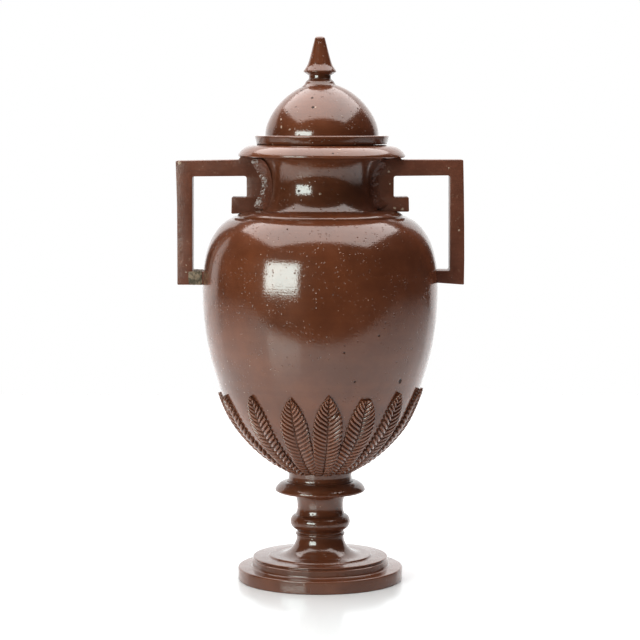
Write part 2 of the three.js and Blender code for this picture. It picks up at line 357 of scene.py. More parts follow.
def fitted(piece: bpy.types.Object, node: Node, material: bpy.types.Material) -> None:
    """Dresses a piece, sets it on the body and lets it stand for its solid.

    Args:
        piece: The finished piece.
        node: The solid that it stands for.
        material: Its finish.
    """
    piece.data.materials.clear()
    piece.data.materials.append(material)
    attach(piece, "root")
    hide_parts(node.value)
    LOG.info("%s: %d faces", piece.name, len(piece.data.polygons))


# Finishes


class Recipe:
    """The nodes of one material, with short calls that add and join them."""

    BODY_IOR = 1.28
    COAT_IOR = 1.72
    SMALLEST_SPOT = 0.35
    SPOT_EDGE = 0.6
    RAGGED_PITCH = 1.3
    RAGGED_REACH = 2.2

    def __init__(self, name: str) -> None:
        """Starts an empty material.

        Args:
            name: Its name.
        """
        self.material = bpy.data.materials.new(name)
        self.material.use_nodes = True
        self.tree = self.material.node_tree
        self.tree.nodes.clear()
        self.place = self.add("ShaderNodeTexCoord").outputs["Object"]

    def add(self, kind: str, inputs: dict[Any, Any] | None = None, **settings: Any) -> bpy.types.Node:
        """Adds a node.

        Args:
            kind: The node's type.
            inputs: Values, or outputs to link, by the input's name or number.
            **settings: The node's own settings.

        Returns:
            The node.
        """
        node = self.tree.nodes.new(kind)
        for key, value in settings.items():
            setattr(node, key, value)
        for key, value in (inputs or {}).items():
            if isinstance(value, bpy.types.NodeSocket):
                self.tree.links.new(value, node.inputs[key])
            else:
                node.inputs[key].default_value = value
        return node

    def math(self, operation: str, first: Any, second: Any = 0.0) -> bpy.types.NodeSocket:
        """The result of a sum on one or two values."""
        return self.add("ShaderNodeMath", {0: first, 1: second}, operation=operation).outputs[0]

    def stretched(self, scale: Sequence[float]) -> bpy.types.NodeSocket:
        """The object's own coordinates, scaled along each axis."""
        return self.add("ShaderNodeMapping", {"Vector": self.place, "Scale": tuple(scale)}).outputs[0]

    def cloud(self, pitch: float | Sequence[float], detail: float, rough: float) -> bpy.types.NodeSocket:
        """A noise from 0 to 1.

        Args:
            pitch: How far its features are apart in millimetres, along each axis or along all.
            detail: How many finer layers it has.
            rough: How strong those are.

        Returns:
            The noise.
        """
        pitches = (pitch,) * 3 if isinstance(pitch, (int, float)) else pitch
        vector = self.stretched([1 / (p * MM) for p in pitches])
        inputs = {"Vector": vector, "Scale": 1.0, "Detail": detail, "Roughness": rough}
        return self.add("ShaderNodeTexNoise", inputs).outputs[0]

    def ramp(self, value: Any, low: float, high: float, to_low: float = 0.0, to_high: float = 1.0) -> Any:
        """A value taken from one range to another and held within it."""
        inputs = {"Value": value, "From Min": low, "From Max": high, "To Min": to_low, "To Max": to_high}
        return self.add("ShaderNodeMapRange", inputs).outputs[0]

    def spots(self, cell: float, radius: float, share: float) -> bpy.types.NodeSocket:
        """Round spots scattered at random, 1 in the middle of a spot and 0 off it.

        Args:
            cell: The mean distance between places where a spot may be, in millimetres.
            radius: A spot's greatest radius in millimetres.
            share: How many of the places have one.

        Returns:
            The mask.
        """
        vector = self.stretched((1 / (cell * MM),) * 3)
        cells = self.add("ShaderNodeTexVoronoi", {"Vector": vector, "Scale": 1.0})
        chance = self.add("ShaderNodeSeparateColor", {0: cells.outputs["Color"]})
        there = self.math("LESS_THAN", chance.outputs[0], share)
        size = self.ramp(chance.outputs[1], 0, 1, self.SMALLEST_SPOT * radius / cell, radius / cell)
        depth = self.math("SUBTRACT", 1.0, self.math("DIVIDE", cells.outputs["Distance"], size))
        return self.math("MULTIPLY", there, self.ramp(depth, 0.0, self.SPOT_EDGE))

    def mixed(self, factor: Any, first: Any, second: Any) -> bpy.types.NodeSocket:
        """Two colours mixed.

        Args:
            factor: How much of the second one there is.
            first: A colour, or an output that gives it.
            second: The other colour.

        Returns:
            The mixed colour.
        """
        node = self.add("ShaderNodeMix", data_type="RGBA")
        for key, value in ((0, factor), (6, first), (7, second)):
            if isinstance(value, bpy.types.NodeSocket):
                self.tree.links.new(value, node.inputs[key])
            else:
                node.inputs[key].default_value = (*value, 1.0) if isinstance(value, tuple) else value
        return node.outputs[2]

    def attribute(self, name: str) -> bpy.types.NodeSocket:
        """A value that was painted on the piece."""
        return self.add("ShaderNodeAttribute", attribute_name=name).outputs["Fac"]

    def summed(self, *heights: tuple[Any, float]) -> Any:
        """The sum of several values.

        Args:
            *heights: The values, each with its weight.

        Returns:
            The sum.
        """
        result: Any = 0.0
        for value, weight in heights:
            result = self.weighed(result, value, weight)
        return result

    def near(self, marks: Sequence[Mark]) -> Any:
        """A mask that shows at each of some marks, with ragged edges, and is 0 off them.

        Args:
            marks: The marks.

        Returns:
            The mask.
        """
        ragged = self.add("ShaderNodeVectorMath", {0: self.place, 1: self.shake()}, operation="ADD").outputs[0]
        result: Any = 0.0
        for mark in marks:
            spot = tuple(c * MM for c in mark.at)
            away = self.add("ShaderNodeVectorMath", {0: ragged, 1: spot}, operation="DISTANCE").outputs["Value"]
            one = self.ramp(away, self.SPOT_EDGE * mark.radius * MM, mark.radius * MM, mark.depth, 0.0)
            result = self.math("MAXIMUM", result, one)
        return result

    def shake(self) -> bpy.types.NodeSocket:
        """A small uneven shift of the coordinates, which makes round marks ragged.

        Returns:
            The shift.
        """
        vector = self.stretched((1 / (self.RAGGED_PITCH * MM),) * 3)
        cloud = self.add("ShaderNodeTexNoise", {"Vector": vector, "Scale": 1.0, "Detail": 2.0}).outputs["Color"]
        centred = self.add("ShaderNodeVectorMath", {0: cloud, 1: (0.5, 0.5, 0.5)}, operation="SUBTRACT").outputs[0]
        return self.add("ShaderNodeVectorMath", {0: centred, 3: self.RAGGED_REACH * MM}, operation="SCALE").outputs[0]

    def weighed(self, base: Any, value: Any, weight: float) -> Any:
        """A base value with another one added by its weight."""
        return self.add("ShaderNodeMath", {0: value, 1: weight, 2: base}, operation="MULTIPLY_ADD").outputs[0]

    def finish(self, colour: Any, haze: Any, height: Any, coat: Any, coat_roughness: float) -> bpy.types.Material:
        """Ends the material with its surface.

        Args:
            colour: The base colour.
            haze: The roughness under the clear skin of the glaze.
            height: The height of the relief in millimetres.
            coat: How much of the surface has the clear skin.
            coat_roughness: The roughness of that skin.

        Returns:
            The material.
        """
        relief = self.add("ShaderNodeBump", {"Height": height, "Strength": 1.0, "Distance": MM})
        inputs = {
            "Base Color": colour,
            "Roughness": haze,
            "IOR": self.BODY_IOR,
            "Normal": relief.outputs[0],
            "Coat Weight": coat,
            "Coat Roughness": coat_roughness,
            "Coat IOR": self.COAT_IOR,
            "Coat Normal": relief.outputs[0],
        }
        surface = self.add("ShaderNodeBsdfPrincipled", inputs)
        self.add("ShaderNodeOutputMaterial", {"Surface": surface.outputs[0]})
        return self.material


@dataclass(frozen=True)
class Mark:
    """One pit or chip that the urn has.

    Args:
        at: Where it is, in millimetres.
        radius: Its radius.
        depth: How strongly it shows, from 0 to 1.
    """

    at: tuple[float, float, float]
    radius: float
    depth: float = 1.0


def marked(*rows: Sequence[float]) -> tuple[Mark, ...]:
    """Marks from rows that give the place in millimetres, the radius and, where it isn't 1, the depth."""
    return tuple(Mark(tuple(row[:3]), *row[3:]) for row in rows)


@dataclass(frozen=True)
class Glaze:
    """A glossy dark brown glaze over stoneware, with turning lines, pinholes and grit.

    Args:
        name: The finish's name.
        thick: Its colour where it lies thick.
        thin: Its colour where it has run thin.
        pit: The colour in its pits.
        grit: The colour of its light specks.
        pool_and_shade: The colour where the glaze has gathered in a groove, which also serves as painted shade in
            grooves, along edges and in cracks.
        pool_and_shade_share: How strongly that pooled glaze and painted shade show.
        pit_strength: How dark and dull the pits are.
        gloss: The roughness of its skin.
        ring_height: How high the turning lines stand, in millimetres.
        grain_height: How high its fine grain stands.
        dimple_depth: How deep its fine dimples are.
        pit_share: How many places have a pinhole.
        grit_share: How many places have a light speck.
        pooled_and_shaded: Whether the piece carries a painted mask of pooled glaze and painted shade, which darkens
            it and takes away its clear skin.
        pits: The pits that have a place of their own.
        chips: The light chips that have one.
    """

    name: str
    thick: Colour = (0.130, 0.0430, 0.0195)
    thin: Colour = (0.186, 0.0620, 0.0272)
    pit: Colour = (0.020, 0.010, 0.007)
    grit: Colour = (0.66, 0.50, 0.38)
    pool_and_shade: Colour = (0.050, 0.017, 0.009)
    pool_and_shade_share: float = 0.6
    pit_strength: float = 0.85
    gloss: float = 0.045
    ring_height: float = 0.028
    grain_height: float = 0.045
    dimple_depth: float = 0.22
    pit_share: float = 0.16
    grit_share: float = 0.30
    pooled_and_shaded: bool = False
    pits: tuple[Mark, ...] = ()
    chips: tuple[Mark, ...] = ()

    def make(self) -> bpy.types.Material:
        """Builds the material.

        Returns:
            The material.
        """
        r = Recipe(self.name)
        blotch = r.cloud(34, 4, 0.6)
        rings = r.cloud((60, 60, 1.1), 3, 0.6)
        wide_rings = r.cloud((140, 140, 5.0), 2, 0.5)
        grain = r.cloud(0.95, 2, 0.6)
        pits = r.math("MAXIMUM", r.spots(8.5, 1.1, self.pit_share), r.near(self.pits))
        grit = r.math("MAXIMUM", r.spots(4.4, 0.58, self.grit_share), r.near(self.chips))
        dimples = r.math("MULTIPLY", r.spots(2.1, 0.8, 0.5), r.ramp(r.cloud(22, 3, 0.6), 0.40, 0.56))
        streak = r.summed((blotch, 0.8), (wide_rings, 0.15), (rings, 0.05))
        colour = r.mixed(r.ramp(streak, 0.36, 0.62), self.thick, self.thin)
        colour = r.mixed(r.math("MULTIPLY", pits, self.pit_strength), colour, self.pit)
        colour = r.mixed(r.math("MULTIPLY", grit, 0.6), colour, self.grit)
        # Pooled glaze and painted shade from the piece's mask: darker in the leaves' grooves, along their edges and
        # in the crack.
        if self.pooled_and_shaded:
            colour = r.mixed(r.math("MULTIPLY", r.attribute("pool_and_shade"), self.pool_and_shade_share), colour, self.pool_and_shade)
        haze = r.weighed(r.ramp(r.cloud(14, 3, 0.6), 0.35, 0.7, 0.28, 0.42), grit, 0.3)
        height = r.summed(
            (rings, self.ring_height),
            (grain, self.grain_height),
            (dimples, -self.dimple_depth),
            (pits, -0.30),
            (grit, 0.10),
            (blotch, 0.05),
        )
        dull = r.math("MULTIPLY", pits, self.pit_strength)
        # The same mask takes the clear skin away, which paints out the reflection there as shade.
        if self.pooled_and_shaded:
            dull = r.math("MAXIMUM", dull, r.math("MULTIPLY", r.attribute("pool_and_shade"), self.pool_and_shade_share))
        coat = r.math("SUBTRACT", 1.0, dull)
        return r.finish(colour, haze, height, coat, self.gloss)


@dataclass(frozen=True)
class RubbedGlaze:
    """The same glaze on hand-cut bars: satin, uneven, and rubbed to the pale body along its edges.

    Args:
        name: The finish's name.
        thick: Its colour where it lies thick.
        thin: Its colour where it has run thin.
        drag: The colour of the lines that the hand dragged in it.
        pit: The colour in its pits.
        grit: The colour of its light specks.
        body: The colour of the stoneware where the glaze is rubbed off.
        gloss: The roughness of its skin.
        skin: How much of it has that skin.
        grain_height: How high its grain stands, in millimetres.
        drag_height: How high the drag lines of the hand stand.
        lump_height: How high its lumps stand.
        chips: The light chips that have a place of their own.
    """

    name: str
    thick: Colour = (0.146, 0.0530, 0.0310)
    thin: Colour = (0.206, 0.0780, 0.0470)
    drag: Colour = (0.082, 0.033, 0.020)
    pit: Colour = (0.022, 0.011, 0.008)
    grit: Colour = (0.64, 0.50, 0.38)
    body: Colour = (0.42, 0.28, 0.20)
    gloss: float = 0.26
    skin: float = 0.55
    grain_height: float = 0.08
    drag_height: float = 0.06
    lump_height: float = 0.1
    chips: tuple[Mark, ...] = ()

    def make(self) -> bpy.types.Material:
        """Builds the material.

        Returns:
            The material.
        """
        r = Recipe(self.name)
        blotch = r.cloud(16, 4, 0.62)
        grain = r.cloud(1.3, 3, 0.6)
        drag = r.cloud((9.0, 9.0, 1.6), 3, 0.6)
        pits = r.spots(6.0, 0.8, 0.12)
        grit = r.math("MAXIMUM", r.spots(2.8, 0.32, 0.11), r.near(self.chips))
        worn = r.math("MULTIPLY", r.attribute("edge"), r.ramp(r.cloud(3.5, 4, 0.65), 0.6, 0.74))
        colour = r.mixed(r.ramp(blotch, 0.3, 0.7), self.thick, self.thin)
        colour = r.mixed(r.math("MULTIPLY", r.ramp(drag, 0.5, 0.8), 0.3), colour, self.drag)
        colour = r.mixed(r.math("MULTIPLY", pits, 0.8), colour, self.pit)
        colour = r.mixed(r.math("MULTIPLY", grit, 0.6), colour, self.grit)
        colour = r.mixed(r.math("MULTIPLY", worn, 0.45), colour, self.body)
        haze = r.weighed(r.ramp(r.cloud(9, 3, 0.6), 0.35, 0.7, 0.35, 0.55), worn, 0.25)
        height = r.summed(
            (grain, self.grain_height),
            (drag, self.drag_height),
            (r.cloud(5.5, 2, 0.5), self.lump_height),
            (pits, -0.25),
            (grit, 0.12),
            (blotch, 0.2),
            (worn, -0.05),
        )
        return r.finish(colour, haze, height, self.skin, self.gloss)


@dataclass(frozen=True)
class RoughFiller:
    """A rough tan filler smeared over an old join.

    Args:
        name: The finish's name.
        clay: Its main colour.
        stain: The olive stain in it.
        crumb: The light crumbs in it.
        skin: How much of it shines.
        gloss: The roughness of that shine.
    """

    name: str
    clay: Colour = (0.300, 0.225, 0.160)
    stain: Colour = (0.105, 0.082, 0.055)
    crumb: Colour = (0.55, 0.47, 0.37)
    skin: float = 0.15
    gloss: float = 0.4

    def make(self) -> bpy.types.Material:
        """Builds the material.

        Returns:
            The material.
        """
        r = Recipe(self.name)
        patches = r.cloud(2.6, 5, 0.65)
        crumbs = r.cloud(0.8, 4, 0.7)
        colour = r.mixed(r.ramp(patches, 0.42, 0.6), self.clay, self.stain)
        colour = r.mixed(r.ramp(crumbs, 0.62, 0.74), colour, self.crumb)
        height = r.summed((patches, 0.5), (crumbs, 0.35))
        return r.finish(colour, r.ramp(crumbs, 0.3, 0.7, 0.45, 0.85), height, self.skin, self.gloss)


# The urn's turned body


@dataclass(frozen=True)
class Foot:
    """The stepped round foot, hollowed from below."""

    plinth_radius: float = 64.0
    plinth_height: float = 10.0
    ring_width: float = 16.0
    recess_wall: float = 7.5
    tier_radius: float = 52.9
    tier_rim_radius: float = 52.3
    tier_height: float = 8.1
    tier_fillet: float = 1.5
    groove_depth: float = 1.2
    groove_drop: float = 1.7
    dish_radius: float = 40.2
    dish_height: float = 1.3
    eased_edge: float = 0.8

    @property
    def tier_top(self) -> float:
        """The height of the tier's top."""
        return self.plinth_height + self.tier_height

    @property
    def top(self) -> float:
        """The height at which the stem starts."""
        return self.tier_top + self.dish_height

    def outside(self) -> list[Point]:
        """The profile from the foot ring up to the stem's flare.

        Returns:
            The points of the plinth, the tier with its groove, and the dish.
        """
        wide, rim, groove = self.plinth_radius, self.tier_rim_radius, self.tier_top - self.groove_drop
        return softened(
            [
                (wide - self.ring_width + 2, 0, 0),
                (wide, 0, 0.7),
                (wide, self.plinth_height, 1.1),
                (self.tier_radius, self.plinth_height, self.tier_fillet),
                (self.tier_radius, groove - self.groove_depth, 0.4),
                (rim - self.groove_depth, groove, 0.5),
                (rim, groove + 0.7, 0.5),
                (rim, self.tier_top, 0.7),
                (self.dish_radius, self.tier_top, 0.6),
                (self.dish_radius - self.eased_edge, self.top, 0.5),
                (self.dish_radius - 4, self.top, 0),
            ]
        )


@dataclass(frozen=True)
class Stem:
    """The baluster stem between the foot and the flange."""

    base: float
    foot_radius: float = 18.2
    flare_radius: float = 15.1
    bead_radius: float = 19.2
    bead_height: float = 2.4
    cove_height: float = 2.8
    torus_radius: float = 23.3
    torus_height: float = 11.0
    torus_round: float = 6.2
    torus_step: Point = (0.7, 0.12)
    cove_hollow: float = 0.5
    waist_radius: float = 17.9
    top_radius: float = 21.5
    lower_height: float = 6.8
    upper_height: float = 11.4
    lower_hollow: float = 0.07
    upper_hollow: float = 0.09
    shaft_radius: float = 9.0

    @property
    def bead_base(self) -> float:
        """The height of the bead's lower edge."""
        return self.base + self.flare_radius

    @property
    def torus_top(self) -> float:
        """The height of the torus's upper edge."""
        return self.bead_base + self.bead_height + self.cove_height + self.torus_height

    @property
    def top(self) -> float:
        """The height at which the flange starts."""
        return self.torus_top + self.lower_height + self.upper_height

    def outside(self) -> list[Point]:
        """The profile from the foot's dish up to the flange.

        Returns:
            The points, with the flare, the bead, the torus with its fine step, and the waist.
        """
        sagitta = self.flare_radius * (1 - math.sqrt(0.5))
        cove = self.bead_base + self.bead_height
        torus = cove + self.cove_height
        rise = min(self.torus_height / 2, self.torus_round)
        end = self.torus_radius - self.torus_round + math.sqrt(self.torus_round**2 - rise**2)
        waist = (self.waist_radius, self.torus_top + self.lower_height)
        step = (end - self.torus_step[0], self.torus_top + self.torus_step[1])
        low, high = (self.foot_radius, self.bead_base), (self.foot_radius, cove)
        return joined(
            bowed((self.foot_radius + self.flare_radius, self.base), low, -sagitta, 12),
            bowed(low, high, self.bead_radius - self.foot_radius, 7),
            bowed(high, (end, torus), -self.cove_hollow, 4),
            bowed((end, torus), (end, self.torus_top), self.torus_radius - end, 16),
            bowed(step, waist, -self.lower_height * self.lower_hollow, 7),
            bowed(waist, (self.top_radius, self.top), -self.upper_height * self.upper_hollow, 9),
        )


@dataclass(frozen=True)
class Flange:
    """The saucer-like flange and the collar below the bowl."""

    base: float
    radius: float = 35.0
    height: float = 8.2
    edge: float = 2.0
    crown: float = 1.6
    collar_radius: float = 24.8
    collar_height: float = 8.0

    @property
    def collar_base(self) -> float:
        """The height of the collar's foot."""
        return self.base + self.height

    @property
    def top(self) -> float:
        """The height at which the bowl starts."""
        return self.collar_base + self.collar_height

    def outside(self) -> list[Point]:
        """The profile from under the flange up to the bowl.

        Returns:
            The points of the flange and the collar.
        """
        foot = self.collar_base
        crown = bowed((self.radius, self.base + self.edge), (self.collar_radius + 1.1, foot), self.crown, 12)
        return joined(
            softened(
                [
                    (self.radius - 5, self.base - 0.1, 0),
                    (self.radius - 1.0, self.base, 0.8),
                    (self.radius + 0.1, self.base + 1.1, 0.7),
                    (*crown[0], 0),
                ]
            )[:-1],
            crown,
            softened(
                [
                    (self.collar_radius + 1.1, foot, 0),
                    (self.collar_radius + 1.2, foot + 0.5, 0.3),
                    (self.collar_radius, foot + 1.3, 0.6),
                    (self.collar_radius - 0.3, foot + 4.2, 2.0),
                    (self.collar_radius, self.top, 0),
                ]
            ),
        )


@dataclass(frozen=True)
class Bowl:
    """The bowl, as shares of its greatest radius and of its height, and the space in it."""

    base: float
    foot_radius: float = 24.8
    radius: float = 90.8
    height: float = 197.3
    floor: float = 10.0
    wall: float = 7.0
    ledge_radius: float = 64.3
    groove: float = 1.1
    inner_steps: int = 36
    shape: tuple[Point, ...] = (
        (0.348, 0.025),
        (0.491, 0.073),
        (0.622, 0.131),
        (0.735, 0.198),
        (0.816, 0.276),
        (0.888, 0.375),
        (0.945, 0.472),
        (0.981, 0.57),
        (0.999, 0.67),
        (0.999, 0.747),
        (0.986, 0.818),
        (0.957, 0.876),
        (0.917, 0.919),
        (0.859, 0.958),
        (0.793, 0.986),
    )

    @property
    def top(self) -> float:
        """The height of the ledge's foot."""
        return self.base + self.height

    def outside(self) -> list[Point]:
        """The bowl's outer curve, from the collar up to the ledge.

        Returns:
            The points.
        """
        stations = [(r * self.radius, self.base + z * self.height) for r, z in self.shape]
        ends = (self.foot_radius, self.base), (self.ledge_radius + 2 * self.groove, self.top)
        return smooth_through([ends[0], *stations, ends[1]], 9)

    def inside(self) -> list[Point]:
        """The inner curve, from the shoulder down to the middle of the floor.

        Returns:
            The points.
        """
        outer = Line(tuple(self.outside()))
        read, length = outer.reader(), outer.lengths[-1]
        floor = self.base + self.floor
        points = []
        for i in range(self.inner_steps - 2, 0, -1):
            at, along = read(length * i / self.inner_steps)
            moved = at + Vector((-along.y, along.x)) * self.wall
            if moved.y > floor + 1:
                points.append((moved.x, moved.y))
        foot = points[-1][0] - self.wall
        return [*points, (foot, floor), (foot * 0.5, floor), (0, floor)]


@dataclass(frozen=True)
class Neck:
    """The ledge on the shoulder, the waisted neck and the lip."""

    base: float
    ledge_radius: float = 64.3
    groove: float = 1.1
    crown: float = 5.6
    foot_radius: float = 46.3
    waist_radius: float = 40.7
    top_radius: float = 49.2
    height: float = 40.2
    lip_radius: float = 64.3
    lip_edge: float = 1.6
    lip_crown: float = 2.2
    lip_height: float = 9.6
    seat_radius: float = 50.6
    mouth_radius: float = 41.0
    wall: float = 7.0
    rim_depth: float = 11.8
    tilt: float = 0.0055
    lean: float = 1.2

    @property
    def foot(self) -> float:
        """The height of the neck's foot."""
        return self.base + self.crown

    @property
    def neck_top(self) -> float:
        """The height of the neck's top, under the lip."""
        return self.foot + self.height

    @property
    def top(self) -> float:
        """The height of the lip's seat."""
        return self.neck_top + self.lip_height

    def column(self) -> list[Point]:
        """The neck's outer curve between the ledge and the lip."""
        foot, top = (self.foot_radius, self.foot), (self.top_radius, self.neck_top)
        return bowed(foot, top, self.waist_radius - (foot[0] + top[0]) / 2, 26)

    def outside(self) -> list[Point]:
        """The profile from the groove under the ledge up over the lip to its seat.

        Returns:
            The points of the ledge, the neck and the lip.
        """
        reach = self.ledge_radius - self.foot_radius
        crown = [
            (self.foot_radius + reach * math.cos(a), self.base + self.crown * math.sin(a))
            for a in (math.pi / 2 * i / 10 for i in range(10))
        ]
        edge, seat = (self.lip_radius, self.neck_top + self.lip_edge), (self.seat_radius, self.top - 0.4)
        return joined(
            [(self.ledge_radius + self.groove / 2, self.base - self.groove)],
            [(self.ledge_radius + 0.1, self.base - 0.5)],
            crown,
            self.column()[:-1],
            softened(
                [
                    (self.top_radius - 0.4, self.neck_top - 1.0, 0),
                    (self.top_radius + 0.6, self.neck_top, 0.8),
                    (self.lip_radius - 0.9, self.neck_top, 0.5),
                    (self.lip_radius, self.neck_top + 0.7, 0.5),
                    (*edge, 0),
                ]
            )[1:-1],
            bowed(edge, seat, self.lip_crown, 16),
            [(self.seat_radius - 0.8, self.top), (self.mouth_radius + 0.8, self.top)],
        )

    def inside(self) -> list[Point]:
        """The profile from the mouth's edge down to the neck's foot inside.

        Returns:
            The points.
        """
        rim = self.top - self.rim_depth
        inner = (self.foot_radius - self.wall, self.foot - self.wall / 2)
        bow = self.waist_radius - self.wall - (inner[0] + self.mouth_radius) / 2
        return [
            (self.mouth_radius, self.top - 0.8),
            *reversed(bowed(inner, (self.mouth_radius, rim), bow, 10)),
        ]


@dataclass(frozen=True)
class Vessel:
    """The turned body from the foot ring to the lip, hollow and open at the mouth."""

    sides: int = 168
    foot: Foot = field(default_factory=Foot)

    @property
    def stem(self) -> Stem:
        """The stem, standing on the foot."""
        return Stem(base=self.foot.top)

    @property
    def flange(self) -> Flange:
        """The flange, on top of the stem."""
        return Flange(base=self.stem.top)

    @property
    def bowl(self) -> Bowl:
        """The bowl, on the collar."""
        return Bowl(base=self.flange.top)

    @property
    def neck(self) -> Neck:
        """The neck, on the bowl's shoulder."""
        return Neck(base=self.bowl.top)

    def underside(self) -> list[Point]:
        """The profile from the top of the shaft in the stem down and out to the foot ring.

        Returns:
            The points of the hollow below.
        """
        foot, stem, wall = self.foot, self.stem, self.foot.recess_wall
        ring = foot.plinth_radius - foot.ring_width
        flare = stem.flare_radius
        return softened(
            [
                (0, stem.top, 0),
                (stem.shaft_radius, stem.top, 1.5),
                (stem.shaft_radius, stem.bead_base, 2.0),
                (stem.foot_radius - wall + flare * 0.2, stem.bead_base - flare * 0.8, 3.0),
                (stem.foot_radius + flare - wall, foot.top - wall, 3.0),
                (ring - foot.eased_edge, foot.tier_top - wall - foot.eased_edge, 1.5),
                (ring - foot.eased_edge, foot.eased_edge, 0.6),
                (ring + 0.4, 0, 0),
            ]
        )

    def leaned(self, at: Vector) -> Vector:
        """A place on the body after the neck and lip have leaned a little, as they were thrown."""
        share = eased_step(at.z, self.neck.foot, self.neck.neck_top)
        return Vector((at.x + self.neck.lean * share, at.y, at.z - self.neck.tilt * at.x * share))

    def build(self, material: bpy.types.Material) -> bpy.types.Object:
        """Turns the body and dresses it.

        Args:
            material: Its glaze.

        Returns:
            The piece.
        """
        profile = joined(
            self.underside(),
            self.foot.outside(),
            self.stem.outside(),
            self.flange.outside(),
            self.bowl.outside()[:-1],
            self.neck.outside(),
            self.neck.inside(),
            self.bowl.inside(),
        )
        bm = turned(profile, self.sides)
        for vert in bm.verts:
            vert.co = self.leaned(vert.co)
        piece = shaped(bm, "turned_body")
        fitted(piece, Node.URN, material)
        return piece


# Applied leaves


@dataclass(frozen=True)
class Leaf:
    """One veined leaf, pressed on the bowl. Its sizes are in millimetres, or shares of its length or width.

    Args:
        number: Its number in the band.
        azimuth: Where its middle is, in degrees from the front towards +X.
        length: Its length along the bowl.
        broken: The length of the tip that has broken off.
        crack: Where a crack runs across it, as a share of its length, or None.
        half_width: Half its greatest width.
        tip_curve: The inner and the outer power of the outline's curve from its widest place to the tip.
        end_bow: How far its cut-off ends bow up in the middle.
        root_start: Where the rows start before the root, so that the veins run on to it.
        rib_middle: The height in a rib that stays level with the blade.
        edge_roll: The share of the half width at which the blade rolls down, and how far it rolls.
        squeeze: How close together the rows past either end lie.
    """

    number: int
    azimuth: float
    length: float
    broken: float
    crack: float | None
    half_width: float
    root_half_width: float = 5.0
    widest: float = 0.67
    tip_curve: Point = (2.25, 0.92)
    relief: float = 2.25
    pillow: float = 0.86
    midrib_share: float = 0.55
    midrib_width: float = 0.10
    midrib_depth: float = 0.75
    tip_lift: float = 0.6
    thin_root: float = 0.25
    rooting: float = 2.0
    end_bow: float = 0.4
    root_start: float = -0.1
    tip_end: float = 0.997
    vein_pitch: float = 4.3
    vein_ratio: float = 0.72
    vein_height: float = 1.55
    vein_slant: float = 0.85
    vein_shift: float = 0.37
    groove_width: float = 0.15
    groove_share: float = 0.7
    scallop: float = 0.5
    rib_middle: float = 0.75
    edge_roll: Point = (0.93, 0.5)
    crack_width: float = 0.75
    crack_slant: float = 4.5
    crack_depth: float = 1.7
    wobble: float = 0.5
    rows_per_vein: int = 10
    squeeze: float = 5e-5
    stations: tuple[float, ...] = (0.0, 0.05, 0.13, 0.23, 0.34, 0.46, 0.58, 0.70, 0.81, 0.90, 0.96, 1.0)

    def half_width_at(self, share: float) -> float:
        """Half the leaf's width.

        Args:
            share: The place along the leaf, as a share of its length.

        Returns:
            The half width there.
        """
        if share < self.widest:
            swell = math.sin(math.pi / 2 * share / self.widest)
            return self.root_half_width + (self.half_width - self.root_half_width) * swell
        beyond = (share - self.widest) / (1 - self.widest)
        return self.half_width * max(1 - beyond ** self.tip_curve[0], 0.0) ** self.tip_curve[1]

    def rib_at(self, vein: float) -> float:
        """The shape of the ribs between the veins.

        Args:
            vein: The place, counted in veins.

        Returns:
            A value that rises from 0 in a groove to 1 on a rib.
        """
        away = abs(vein - round(vein))
        groove = self.groove_share * math.exp(-((away / self.groove_width) ** 2))
        return 1 - groove - (1 - self.groove_share) * (1 - math.sin(math.pi * away))

    def crack_at(self, across: float, share: float) -> float:
        """How much a place lies in the leaf's crack.

        Args:
            across: The place across the blade, from -1 to 1.
            share: The place along it, from 0 to 1.

        Returns:
            A value from 0 off the crack to 1 in it.
        """
        if self.crack is None:
            return 0.0
        line = (share - self.crack) * self.length - self.crack_slant * across
        return math.exp(-((line / self.crack_width) ** 2)) * eased_step(across, -0.35, 0.05)

    def height_at(self, across: float, share: float, vein: float) -> float:
        """How far the leaf stands off the bowl.

        Args:
            across: The place across the blade, from -1 to 1.
            share: The place along it, from 0 to 1.
            vein: The same place counted in veins.

        Returns:
            The height in millimetres.
        """
        out = abs(across)
        pillow = math.sin(math.pi * min(out * self.pillow, 1.0)) ** 2
        lift = self.tip_lift * max((share - self.widest) / (1 - self.widest), 0.0) ** 2
        fullness = min(0.4 + share / self.thin_root, 1.0)
        body = self.relief * fullness * (self.midrib_share + (1 - self.midrib_share) * pillow)
        ridge = self.rib_at(vein) - self.rib_middle
        spread = eased_step(out, 0.0, 0.07) * (0.85 + 0.25 * out) * min(0.8 + share, 1.0)
        spread *= 1 - 0.6 * eased_step(share, 0.93, 1.0)
        midrib = -self.midrib_depth * max(1 - out / self.midrib_width, 0.0) * (1 - eased_step(share, 0.9, 1.0))
        edge = -self.edge_roll[1] * self.relief * eased_step(out, self.edge_roll[0], 1.02)
        height = body + lift + ridge * self.vein_height * spread + midrib + edge
        return height - self.crack_depth * self.crack_at(across, share)

    def build(self, bowl: Bowl, material: bpy.types.Material) -> bpy.types.Object:
        """Shapes the leaf on the bowl and dresses it.

        Args:
            bowl: The bowl that it is pressed on.
            material: Its glaze.

        Returns:
            The piece.
        """
        whole = self.length + self.broken
        reach = self.length / whole if self.broken else self.tip_end
        start = self.root_start
        veins = round((1 - start) * whole / self.vein_pitch)
        rows = veins * self.rows_per_vein
        top = [-s for s in reversed(self.stations)] + list(self.stations[1:])
        sides = [0.0, -1.0, *top, 1.0, 0.0]
        last = len(sides) - 1
        read = Line(tuple(bowl.outside())).reader()

        def place(row: int, column: int) -> tuple[Vector, float]:
            """The place of one corner of the leaf's grid, and its value in the mask of pooled glaze and painted
            shade.

            Args:
                row: The row, from the root to the tip.
                column: The column, from the middle of the underside over the top and back to it.

            Returns:
                The place in millimetres, and its value in that mask.
            """
            side, under = sides[column], column in (0, 1, last - 1, last)
            along = start + (1 - start) * (1 - self.vein_ratio ** (row / rows)) / (1 - self.vein_ratio)
            width = self.half_width_at(min(max(along, 0.0), 1.0))
            ahead = self.vein_slant * abs(side) * width / whole * (1 - eased_step(along, 0.97, 1.0))
